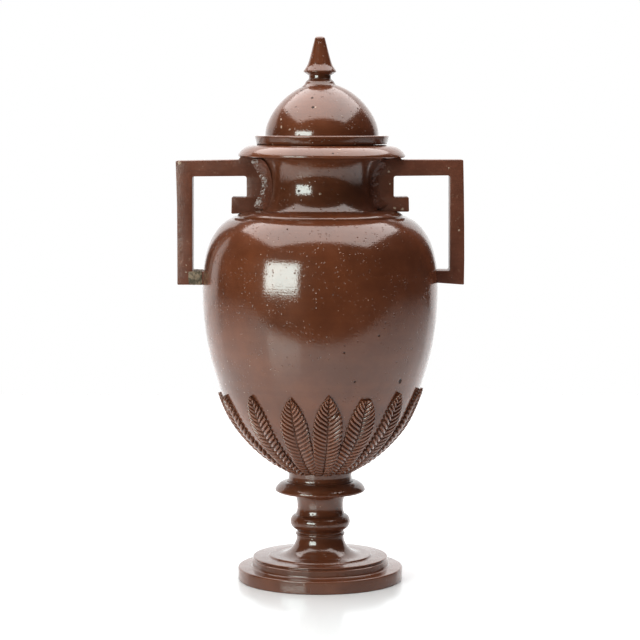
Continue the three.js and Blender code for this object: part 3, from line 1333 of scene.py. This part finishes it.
            # Rows past either end are squeezed close together there, so that none fall on each other.
            share = min(max(along + ahead, self.squeeze * row), reach - self.squeeze * (rows - row))
            through = (share - ahead - start) / (1 - start) * (1 - self.vein_ratio)
            vein = veins * math.log(1 - through) / math.log(self.vein_ratio) + self.number * self.vein_shift
            scallop = self.scallop * (self.rib_at(vein) - 0.7) * eased_step(abs(side), 0.7, 1.0)
            scallop *= min(self.half_width_at(share) / 4, 1.0)
            broad = side * (self.half_width_at(share) + scallop)
            at, slope = read(share * whole)
            height = -self.rooting
            if not under:
                height += self.end_bow * (1 - side**2)
                height = height if row in (0, rows) else self.height_at(side, share, vein)
            wobble = noise.noise(Vector((self.number * 9.1, side * 2.0, share * 6.0))) * self.wobble
            angle = math.radians(self.azimuth) + (broad + wobble * (1 if abs(side) > 0.5 else 0.4)) / at.x
            radius = at.x + slope.y * height
            spot = Vector((radius * math.sin(angle), -radius * math.cos(angle), at.y - slope.x * height))
            # The mask: dark in the veins' grooves, where glaze pools and painted shade falls, and painted shade on
            # the rooted underside, along the blade's edges and in the crack.
            dark = 1 - self.rib_at(vein) * eased_step(abs(side), 0.0, 0.09) if not under else 1.0
            return spot, max(dark, eased_step(abs(side), 0.955, 1.0), self.crack_at(side, share))

        piece = shaped(laid_out(rows, last, place), f"leaf_{self.number + 1:02d}", 80)
        fitted(piece, Node.URN, material)
        return piece


@dataclass(frozen=True)
class LeafBand:
    """The sixteen leaves round the bowl's lower half, set by hand and so a little uneven.

    Args:
        settings: The azimuth of each leaf in degrees, its length and half its width.
        broken_leaf: The leaf that has lost its tip, and how much of it.
        cracked_leaf: The leaf with a crack, and the share of its length at which it runs.
    """

    settings: tuple[tuple[float, float, float], ...] = (
        (4.8, 89.3, 11.0),
        (26.2, 84.9, 10.7),
        (48.9, 88.6, 9.6),
        (72.6, 88.5, 10.2),
        (95.0, 85.5, 10.4),
        (116.6, 87.0, 10.6),
        (138.2, 87.0, 10.8),
        (159.9, 86.0, 10.5),
        (181.5, 87.0, 10.8),
        (203.1, 86.0, 10.6),
        (224.7, 87.0, 10.8),
        (246.4, 86.0, 10.5),
        (268.0, 82.4, 10.4),
        (290.4, 83.4, 10.4),
        (318.8, 87.0, 9.8),
        (343.5, 87.0, 10.8),
    )
    broken_leaf: tuple[int, float] = (1, 4.6)
    cracked_leaf: tuple[int, float] = (0, 0.8)

    def build(self, bowl: Bowl, material: bpy.types.Material) -> list[bpy.types.Object]:
        """Shapes every leaf on the bowl.

        Args:
            bowl: The bowl that carries them.
            material: Their glaze.

        Returns:
            The pieces.
        """
        pieces = []
        for number, (azimuth, length, half_width) in enumerate(self.settings):
            broken = self.broken_leaf[1] if number == self.broken_leaf[0] else 0.0
            crack = self.cracked_leaf[1] if number == self.cracked_leaf[0] else None
            pieces.append(Leaf(number, azimuth, length, broken, crack, half_width).build(bowl, material))
        return pieces


# Handles


@dataclass(frozen=True)
class Handle:
    """One squared handle of flat bar, with its bracket on the neck and the fillets of slip that hold it.

    Args:
        side: Which side it is on.
        outer: Reach and height of the points down its outer edge, from the top.
        inner: Reach of the upright's inner face at its top and at its foot.
        lower_top: The height of the lower bar's upper face.
        lower_under: The height of its under face, at the upright and at the bowl.
        toe_under: The height of the toe's under face, at its outer end and at the neck.
        droop: How much lower the top bar lies at the upright.
        cuts: How many cuts across the bar, and how far apart, let its faces follow the hand's unevenness.
        sway: How far its faces stray from flat, and over what length.
        slip_width: How wide a fillet of slip is half way up, and how much wider at its ends, as shares of fillet.
        slip_taper: How narrow it is at its very ends, and over what share of its height it narrows.
        slip_waver: How much its width wavers, and over what height.
        slip_lumps: How far its lumps stand off, and how far apart they are.
        slip_root: How far it is rooted in the bar and the neck, and how far its edges sink into them.
    """

    side: Side
    outer: tuple[Point, ...]
    inner: tuple[float, float]
    lower_top: float = 241.1
    lower_under: Point = (231.1, 231.1)
    toe_under: Point = (285.9, 285.9)
    depth: float = 23.0
    top: float = 326.1
    top_bar: float = 11.8
    bracket_reach: float = 56.2
    toe_reach: float = 68.0
    toe_top: float = 297.7
    into_neck: float = 37.0
    into_bowl: float = 88.0
    lip_foot: float = 328.7
    corner: float = 1.4
    eased: float = 0.9
    fillet: float = 8.2
    droop: float = 0.0
    cuts: tuple[tuple[int, float], ...] = ((12, 7.4), (8, 5.6))
    sway: Point = (0.45, 23.0)
    slip_width: Point = (0.8, 0.65)
    slip_taper: Point = (0.35, 0.12)
    slip_waver: Point = (0.16, 5.0)
    slip_lumps: tuple[Point, ...] = ((0.132, 2.4), (0.18, 6.0))
    slip_root: Point = (1.5, 0.25)
    slip_rows: int = 34
    slip_arc: int = 9

    def outline(self) -> list[tuple[float, float, float]]:
        """The bar's outline from the front.

        Returns:
            Reach, height and the rounding of each corner.
        """
        under = self.top - self.top_bar
        outer = [(x, z, 0.7) for x, z in reversed(self.outer)]
        return [
            (self.into_neck, self.lip_foot, 0),
            (self.into_neck, self.toe_under[1], 0),
            (self.toe_reach, self.toe_under[0], 0.9),
            (self.toe_reach - 0.3, self.toe_top, 0.9),
            (self.bracket_reach, self.toe_top - 0.2, self.corner),
            (self.bracket_reach, under - 0.4, self.corner * 1.3),
            (self.inner[0], under - self.droop, self.corner),
            (self.inner[1], self.lower_top, self.corner),
            (self.into_bowl, self.lower_top + 0.2, 0),
            (self.into_bowl, self.lower_under[1], 0),
            *outer,
            (62.5, self.top, 0),
            (60.7, self.lip_foot, 0),
        ]

    def bar(self) -> bmesh.types.BMesh:
        """The whole handle cut from one flat bar, with eased edges.

        Returns:
            The closed mesh.
        """
        bm = bmesh.new()
        points = softened([*self.outline(), self.outline()[0]], 4)[:-1]
        corners = [bm.verts.new((x * self.side.value, -self.depth / 2, z)) for x, z in points]
        face = bm.faces.new(corners)
        grown = bmesh.ops.extrude_face_region(bm, geom=[face])
        moved = [v for v in grown["geom"] if isinstance(v, bmesh.types.BMVert)]
        bmesh.ops.translate(bm, vec=(0, self.depth, 0), verts=moved)
        bmesh.ops.recalc_face_normals(bm, faces=bm.faces)
        flat = [f for f in bm.faces if abs(f.normal.y) > 0.9]
        eased(bm, list(dict.fromkeys(e for f in flat for e in f.edges)), self.eased, 3)
        (rises, rise), (reaches, reach) = self.cuts
        planes = [((0, 0, self.lower_under[0] + i * rise), (0, 0, 1)) for i in range(1, rises + 1)]
        for i in range(1, reaches + 1):
            planes.append((((self.bracket_reach + i * reach) * self.side.value, 0, 0), (1, 0, 0)))
        for at, normal in planes:
            parts = [*bm.verts, *bm.edges, *bm.faces]
            bmesh.ops.bisect_plane(bm, geom=parts, plane_co=at, plane_no=normal)
        for vert in bm.verts:
            sway = noise.noise(vert.co / self.sway[1] + Vector((0, 0, 7.0 * self.side.value)))
            vert.co.y += self.sway[0] * sway * (1 if vert.co.y > 0 else -1)
        return bm

    def slip(self, column: Sequence[Point], front: int, low: float, high: float) -> bmesh.types.BMesh:
        """A hollow fillet of slip between the bracket's face and the neck.

        Args:
            column: The neck's profile.
            front: -1 for the fillet in front and 1 for the one behind.
            low: The height of its lower end.
            high: The height of its upper end.

        Returns:
            The closed mesh.
        """
        rows, arc = self.slip_rows, self.slip_arc
        face = self.depth / 2

        def place(row: int, step: int) -> tuple[Vector, float]:
            """The place of one corner of the fillet's grid, with no shade of its own.

            Args:
                row: The row, from its lower end up.
                step: The step from the neck over its face to the bar and back behind it.

            Returns:
                The place in millimetres, and 0.
            """
            step %= arc + 2
            height = low + (high - low) * row / rows
            radius = radius_at(column, min(max(height, column[0][1]), column[-1][1] - 0.5))
            corner_x = math.sqrt(max(radius**2 - face**2, 1.0))
            (middle_width, flare), (tip, taper), (waver, pitch) = self.slip_width, self.slip_taper, self.slip_waver
            reach = self.fillet * (middle_width + flare * (2 * row / rows - 1) ** 2)
            reach *= tip + (1 - tip) * eased_step(min(row, rows - row) / rows, 0.0, taper)
            reach *= 1 + waver * noise.noise(Vector((height / pitch, 3.0 * front, self.side.value)))
            swing = math.asin(face / radius) + reach / radius
            on_neck = Vector((radius * math.cos(swing), radius * math.sin(swing)))
            on_face = Vector((min(corner_x + reach, self.bracket_reach - 1.2), face))
            middle = Vector((corner_x, face)) * 0.9 + (on_neck + on_face) * 0.05
            if step > arc or row in (0, rows):
                at = Vector((corner_x - self.slip_root[0], face - self.slip_root[0]))
            else:
                t = step / arc
                at = on_neck * (1 - t) ** 2 + middle * 2 * t * (1 - t) + on_face * t**2
                inward = self.slip_root[1] if step in (0, arc) else 0.0
                at = at - Vector((0, inward)) if step == arc else at * (1 - inward / radius)
            return Vector((at.x * self.side.value, at.y * front, height)), 0.0

        bm = laid_out(rows, arc + 2, place)
        for vert in bm.verts:
            vert.co.y += front * sum(noise.noise(vert.co / pitch) * height for height, pitch in self.slip_lumps)
        return bm

    def build(
        self, vessel: Vessel, material: bpy.types.Material, slip: bpy.types.Material
    ) -> list[bpy.types.Object]:
        """Cuts the bar, lays its fillets and dresses them.

        Args:
            vessel: The body that carries it.
            material: Its finish.
            slip: The finish of the fillets.

        Returns:
            The pieces.
        """
        word = self.side.name.lower()
        bar = shaped(self.bar(), f"{word}_handle", 35)
        pieces = [bar]
        column = vessel.neck.column()
        for front, end in ((-1, "front"), (1, "back")):
            low, high = vessel.neck.foot - 0.6, vessel.neck.neck_top - 0.2
            pieces.append(shaped(self.slip(column, front, low, high), f"{word}_slip_{end}", 60))
        for piece in pieces:
            painted(piece, "edge", self.edge_share)
            fitted(piece, Node.URN, material if piece is bar else slip)
        return pieces

    def edge_share(self, at: Vector) -> float:
        """How near a place is to one of the bar's long edges.

        Args:
            at: The place in millimetres.

        Returns:
            A value from 0 off the edges to 1 on them.
        """
        face, out = self.depth / 2, abs(at.y)
        return eased_step(out, face - 1.3, face - 0.5) * eased_step(face + 0.6 - out, 0.1, 0.9)


@dataclass(frozen=True)
class OldRepair:
    """The rough filler round the left handle's lower bar, where it meets the bowl."""

    low: tuple[float, float, float] = (-101.2, -11.9, 230.4)
    high: tuple[float, float, float] = (-90.4, 11.9, 240.9)
    eased: float = 0.9
    cuts: int = 9
    lumps: tuple[Point, ...] = ((0.45, 2.1), (0.2, 0.9))

    def build(self, material: bpy.types.Material) -> bpy.types.Object:
        """Lays the filler on the bar and dresses it.

        Args:
            material: Its finish.

        Returns:
            The piece.
        """
        low, high = Vector(self.low), Vector(self.high)
        middle = (high + low) / 2
        bm = bmesh.new()
        bmesh.ops.create_cube(bm, size=1)
        bmesh.ops.scale(bm, vec=high - low, verts=bm.verts)
        bmesh.ops.translate(bm, vec=middle, verts=bm.verts)
        eased(bm, list(bm.edges), self.eased, 2)
        bmesh.ops.subdivide_edges(bm, edges=list(bm.edges), cuts=self.cuts, use_grid_fill=True)
        for vert in bm.verts:
            rough = sum(noise.noise(vert.co / pitch) * height for height, pitch in self.lumps)
            vert.co += (vert.co - middle).normalized() * rough
        bmesh.ops.triangulate(bm, faces=bm.faces)
        piece = shaped(bm, "left_filler", 50)
        fitted(piece, Node.URN, material)
        return piece


# The lid


@dataclass(frozen=True)
class Lid:
    """The domed lid with its rim, and the pointed finial on it."""

    seat: float
    shift: float = 1.3
    gap: float = 0.3
    mouth_radius: float = 41.0
    rim_clearance: float = 1.9
    rim_depth: float = 8.0
    rim_wall: float = 5.0
    wall: float = 6.0
    flange_radius: float = 51.8
    flange_height: float = 6.5
    flange_taper: float = 1.6
    dome_radius: float = 44.4
    dome_sink: float = 4.0
    haunch_ease: float = 1.25
    stilt: float = 0.6
    stilt_height: float = 3.2
    finial_radius: float = 12.6
    finial_height: float = 34.95
    finial_shift: float = -1.5
    finial_rooting: float = 3.3
    sides: int = 144
    finial_shape: tuple[Point, ...] = (
        (0.844, 0.025),
        (0.68, 0.085),
        (0.668, 0.155),
        (0.836, 0.195),
        (1.0, 0.237),
        (0.918, 0.295),
        (0.766, 0.38),
        (0.68, 0.465),
        (0.547, 0.633),
        (0.43, 0.8),
        (0.328, 0.938),
        (0.22, 0.988),
    )

    @property
    def base(self) -> float:
        """The height of the lid's underside."""
        return self.seat + self.gap

    @property
    def dome_top(self) -> float:
        """The height of the dome's top."""
        return self.base + self.flange_height - self.dome_sink + self.dome_radius

    def arc(self, radius: float, from_height: float, to_radius: float, ease: float, steps: int) -> list[Point]:
        """Points up a dome.

        Args:
            radius: The dome's radius.
            from_height: The height above its centre at which it starts.
            to_radius: The radius near its top at which it ends.
            ease: How far the haunch is drawn in.
            steps: How many stretches it has.

        Returns:
            The points.
        """
        first, last = math.asin(from_height / radius), math.acos(to_radius / radius)
        centre = self.dome_top - self.dome_radius
        points = []
        for i in range(steps + 1):
            angle = first + (last - first) * i / steps
            reach = radius - ease * math.sin(2 * angle) ** 2
            points.append((reach * math.cos(angle), centre + reach * math.sin(angle)))
        return points

    def cap_profile(self) -> list[Point]:
        """The lid's profile, from under the dome round the rim and the flange to the top.

        Returns:
            The points.
        """
        outer = self.mouth_radius - self.rim_clearance
        inner = outer - self.rim_wall
        flange_top = self.base + self.flange_height
        dome = [
            (r - self.stilt * math.exp((flange_top - z) / self.stilt_height), z)
            for r, z in self.arc(self.dome_radius, self.dome_sink, self.finial_radius / 2, self.haunch_ease, 60)
        ]
        return joined(
            reversed(self.arc(self.dome_radius - self.wall, self.dome_sink, 0, 0, 16)),
            softened(
                [
                    (inner, self.base - 0.8, 0),
                    (inner, self.base - self.rim_depth, 0.8),
                    (outer, self.base - self.rim_depth, 0.8),
                    (outer, self.base, 0.6),
                    (self.flange_radius - self.flange_taper, self.base, 0.6),
                    (self.flange_radius, flange_top, 0.8),
                    (dome[0][0], flange_top, 0.5),
                    (*dome[1], 0),
                ]
            ),
            dome[2:],
            [(0, self.dome_top)],
        )

    def finial_profile(self) -> list[Point]:
        """The finial's profile, rooted in the dome.

        Returns:
            The points.
        """
        radius, foot = self.finial_radius, self.dome_top
        points = [(r * radius, foot + z * self.finial_height) for r, z in self.finial_shape]
        collar = points[2:6]
        tip = foot + self.finial_height
        root = 1.12 * radius, foot - self.finial_rooting
        flare = smooth_through([root, (0.94 * radius, foot - 1.1), *points[:3]], 6)
        spire = smooth_through([collar[3], *points[6:11]], 6)
        return joined(
            [(0, root[1] - 1), (root[0], root[1] - 1)],
            flare[:-1],
            softened(
                [
                    (*collar[0], 0),
                    (*collar[1], 0.8),
                    (radius, foot + 0.232 * self.finial_height, 0.5),
                    (radius * 0.985, foot + 0.258 * self.finial_height, 0.4),
                    (*collar[3], 0),
                ]
            ),
            spire,
            bowed(spire[-1], (0.9, tip - 0.1), 1.0, 7),
            [(0, tip)],
        )

    def build(self, material: bpy.types.Material) -> list[bpy.types.Object]:
        """Turns the lid and its finial and dresses them.

        Args:
            material: Their glaze.

        Returns:
            The pieces.
        """
        cap = turned(self.cap_profile(), self.sides)
        bmesh.ops.translate(cap, vec=(self.shift, 0, 0), verts=cap.verts)
        finial = turned(self.finial_profile(), self.sides // 2)
        bmesh.ops.translate(finial, vec=(self.shift + self.finial_shift, 0, 0), verts=finial.verts)
        pieces = [shaped(cap, "lid_cap", 40), shaped(finial, "finial", 50)]
        for piece in pieces:
            fitted(piece, Node.LID, material)
        return pieces


# The studio


@dataclass(frozen=True)
class Panel:
    """A plain area light.

    Args:
        name: Its name.
        at: Where its middle is, in metres.
        aim: The point it faces.
        width: Its width.
        height: Its height.
        radiance: How bright its face is, where 1 is white.
        tint: Its colour.
    """

    name: str
    at: tuple[float, float, float]
    aim: tuple[float, float, float]
    width: float
    height: float
    radiance: float
    tint: Colour = (1.0, 1.0, 1.0)

    def build(self) -> bpy.types.Object:
        """Hangs the light.

        Returns:
            The light's object.
        """
        lamp = bpy.data.lights.new(self.name, "AREA")
        lamp.shape = "RECTANGLE"
        lamp.size, lamp.size_y = self.width, self.height
        lamp.energy = self.radiance * math.pi * self.width * self.height
        lamp.color = self.tint
        holder = bpy.data.objects.new(self.name, lamp)
        towards = Vector(self.aim) - Vector(self.at)
        turn = towards.to_track_quat("-Z", "Y").to_matrix().to_4x4()
        holder.matrix_world = Matrix.Translation(self.at) @ turn
        holder.visible_camera = False
        bpy.context.scene.collection.objects.link(holder)
        return holder


@dataclass(frozen=True)
class Studio:
    """A pale floor, soft light and the camera."""

    floor_low: Point = (-2.6, -0.55)
    floor_high: Point = (2.6, 1.15)
    floor_colour: tuple[float, float, float, float] = (0.86, 0.86, 0.865, 1)
    floor_gloss: float = 0.18
    floor_ior: float = 1.4
    room: float = 0.03
    camera_at: tuple[float, float, float] = (-0.00015, -1.779, 0.3666)
    camera_pitch: float = 84.7236
    lens: float = 129.93
    contrast: float = 0.8
    panels: tuple[Panel, ...] = (
        Panel("key", (-0.716, -0.949, 0.424), (0, 0, 0.236), 0.71, 0.46, 9.6, (0.86, 1.0, 0.975)),
        Panel("overhead", (0.0, 0.2, 1.5), (0, 0.2, 0.0), 2.6, 2.2, 3.2),
        Panel("back", (-0.75, 1.7, 0.8), (-0.75, 0, 0.7), 5.1, 1.8, 1.15),
    )

    def floor(self) -> bpy.types.Object:
        """Lays the floor.

        Returns:
            The floor.
        """
        bm = bmesh.new()
        bmesh.ops.create_grid(bm, x_segments=1, y_segments=1, size=1)
        span = Vector(self.floor_high) - Vector(self.floor_low)
        middle = (Vector(self.floor_high) + Vector(self.floor_low)) / 2
        bmesh.ops.scale(bm, vec=(span.x / 2, span.y / 2, 1), verts=bm.verts)
        bmesh.ops.translate(bm, vec=(middle.x, middle.y, 0), verts=bm.verts)
        mesh = bpy.data.meshes.new("floor")
        bm.to_mesh(mesh)
        bm.free()
        floor = bpy.data.objects.new("floor", mesh)
        bpy.context.scene.collection.objects.link(floor)
        r = Recipe("pale_floor")
        inputs = {"Base Color": self.floor_colour, "Roughness": self.floor_gloss, "IOR": self.floor_ior}
        surface = r.add("ShaderNodeBsdfPrincipled", inputs)
        r.add("ShaderNodeOutputMaterial", {"Surface": surface.outputs[0]})
        mesh.materials.append(r.material)
        return floor

    def surroundings(self) -> None:
        """Sets a white ground behind the urn and a dim room round it."""
        world = bpy.data.worlds.new("studio")
        bpy.context.scene.world = world
        world.use_nodes = True
        tree = world.node_tree
        tree.nodes.clear()
        path, white, dim, mix, out = (
            tree.nodes.new(f"ShaderNode{kind}")
            for kind in ("LightPath", "Background", "Background", "MixShader", "OutputWorld")
        )
        white.inputs["Color"].default_value = (1, 1, 1, 1)
        dim.inputs["Color"].default_value = (self.room, self.room, self.room, 1)
        tree.links.new(path.outputs["Is Camera Ray"], mix.inputs[0])
        tree.links.new(dim.outputs[0], mix.inputs[1])
        tree.links.new(white.outputs[0], mix.inputs[2])
        tree.links.new(mix.outputs[0], out.inputs["Surface"])

    def camera(self) -> None:
        """Sets up the camera where the photograph was taken from."""
        lens = bpy.data.cameras.new("view")
        lens.lens = self.lens
        lens.sensor_width = 36
        lens.clip_start = 0.01
        holder = bpy.data.objects.new("view", lens)
        holder.location = self.camera_at
        holder.rotation_euler = (math.radians(self.camera_pitch), 0, 0)
        bpy.context.scene.collection.objects.link(holder)
        bpy.context.scene.camera = holder

    def build(self) -> None:
        """Sets up the whole studio."""
        self.floor()
        self.surroundings()
        self.camera()
        for panel in self.panels:
            panel.build()
        look = bpy.context.scene.view_settings
        look.view_transform = "Standard"
        look.gamma = self.contrast
        LOG.info("studio: %d lights", len(self.panels))


def main() -> None:
    """Builds the urn, its lid and the studio, and logs how many faces each piece came out with."""
    logging.basicConfig(level=logging.INFO, format="%(name)s %(message)s")
    Studio().build()
    vessel = Vessel()
    body_glaze = Glaze(
        "brown_glaze",
        pits=marked(
            (-16.0, -37.3, 303.3, 1.0),
            (-8.4, -39.6, 306.4, 0.8),
            (9.5, -62.1, 332.0, 0.7),
            (60.0, -54.9, 161.3, 2.3),
            (24.0, -36.4, 292.8, 0.8),
        ),
        chips=marked(
            (-0.2, -41.0, 301.2, 1.1),
            (5.8, -55.9, 336.6, 0.9),
            (10.3, -53.1, 337.1, 0.8),
            (14.3, -57.7, 335.1, 1.3),
            (29.0, -46.2, 337.0, 0.9),
            (37.8, -37.5, 337.2, 0.8),
            (-5.0, -58.6, 335.3, 0.7),
        ),
    ).make()
    leaf_glaze = Glaze(
        "leaf_glaze",
        thick=(0.165, 0.060, 0.030),
        thin=(0.235, 0.088, 0.043),
        ring_height=0.0,
        grain_height=0.03,
        dimple_depth=0.0,
        pit_share=0.0,
        grit_share=0.12,
        pooled_and_shaded=True,
    ).make()
    lid_glaze = Glaze(
        "lid_brown_glaze",
        ring_height=0.05,
        pit_share=0.3,
        pits=marked(
            (-14.2, -13.8, 378.9, 1.1),
            (-5.8, -27.5, 373.1, 1.2),
            (-5.4, -34.4, 366.0, 1.2),
            (-18.3, -28.7, 366.4, 0.9, 0.6),
            (1.4, -27.5, 373.9, 0.9, 0.4),
            (28.6, -23.3, 364.9, 1.0, 0.6),
        ),
        chips=marked(
            (-29.6, -26.3, 356.9, 1.0),
            (-29.2, -29.9, 351.3, 1.3),
            (-23.1, -35.6, 349.5, 0.9),
            (-3.6, -34.6, 366.3, 0.9),
            (16.4, -36.2, 359.6, 0.9, 0.5),
            (24.0, -32.1, 359.6, 1.0, 0.5),
            (-35.6, -33.7, 338.1, 1.0),
            (25.7, -43.8, 338.3, 0.8),
        ),
    ).make()
    bar_glaze = RubbedGlaze(
        "rubbed_glaze",
        chips=marked(
            (-107.4, -11.6, 323.8, 1.6),
            (-102.9, -11.3, 245.7, 0.8),
            (-102.9, -11.3, 240.3, 0.8),
            (52.6, -11.6, 316.9, 1.0),
            (53.3, -11.6, 307.8, 0.9),
            (57.2, -11.5, 289.4, 1.1),
            (63.0, -11.5, 288.6, 1.2),
            (98.4, -11.4, 320.0, 0.8),
            (106.3, -11.5, 272.6, 0.8),
        ),
    ).make()
    slip_glaze = RubbedGlaze(
        "slip_glaze",
        gloss=0.16,
        skin=0.5,
        grain_height=0.16,
        drag_height=0.1,
        lump_height=1.8,
    ).make()
    filler = RoughFiller("old_filler").make()
    vessel.build(body_glaze)
    LeafBand().build(vessel.bowl, leaf_glaze)
    left = Handle(
        Side.LEFT,
        outer=((110.4, 325.2), (109.9, 308.0), (109.5, 290.0), (109.5, 260.0), (109.6, 230.5)),
        inner=(97.8, 98.2),
        lower_top=240.5,
        lower_under=(230.5, 230.5),
        toe_under=(285.0, 286.2),
        droop=0.8,
    )
    right = Handle(
        Side.RIGHT,
        outer=((109.3, 326.1), (109.9, 300.0), (110.3, 275.0), (110.5, 250.0), (110.3, 230.6)),
        inner=(99.3, 99.6),
        lower_under=(230.6, 232.2),
        toe_under=(286.6, 286.6),
    )
    for handle in (left, right):
        handle.build(vessel, bar_glaze, slip_glaze)
    OldRepair().build(filler)
    Lid(seat=vessel.neck.top).build(lid_glaze)


if __name__ == "__main__":
    main()
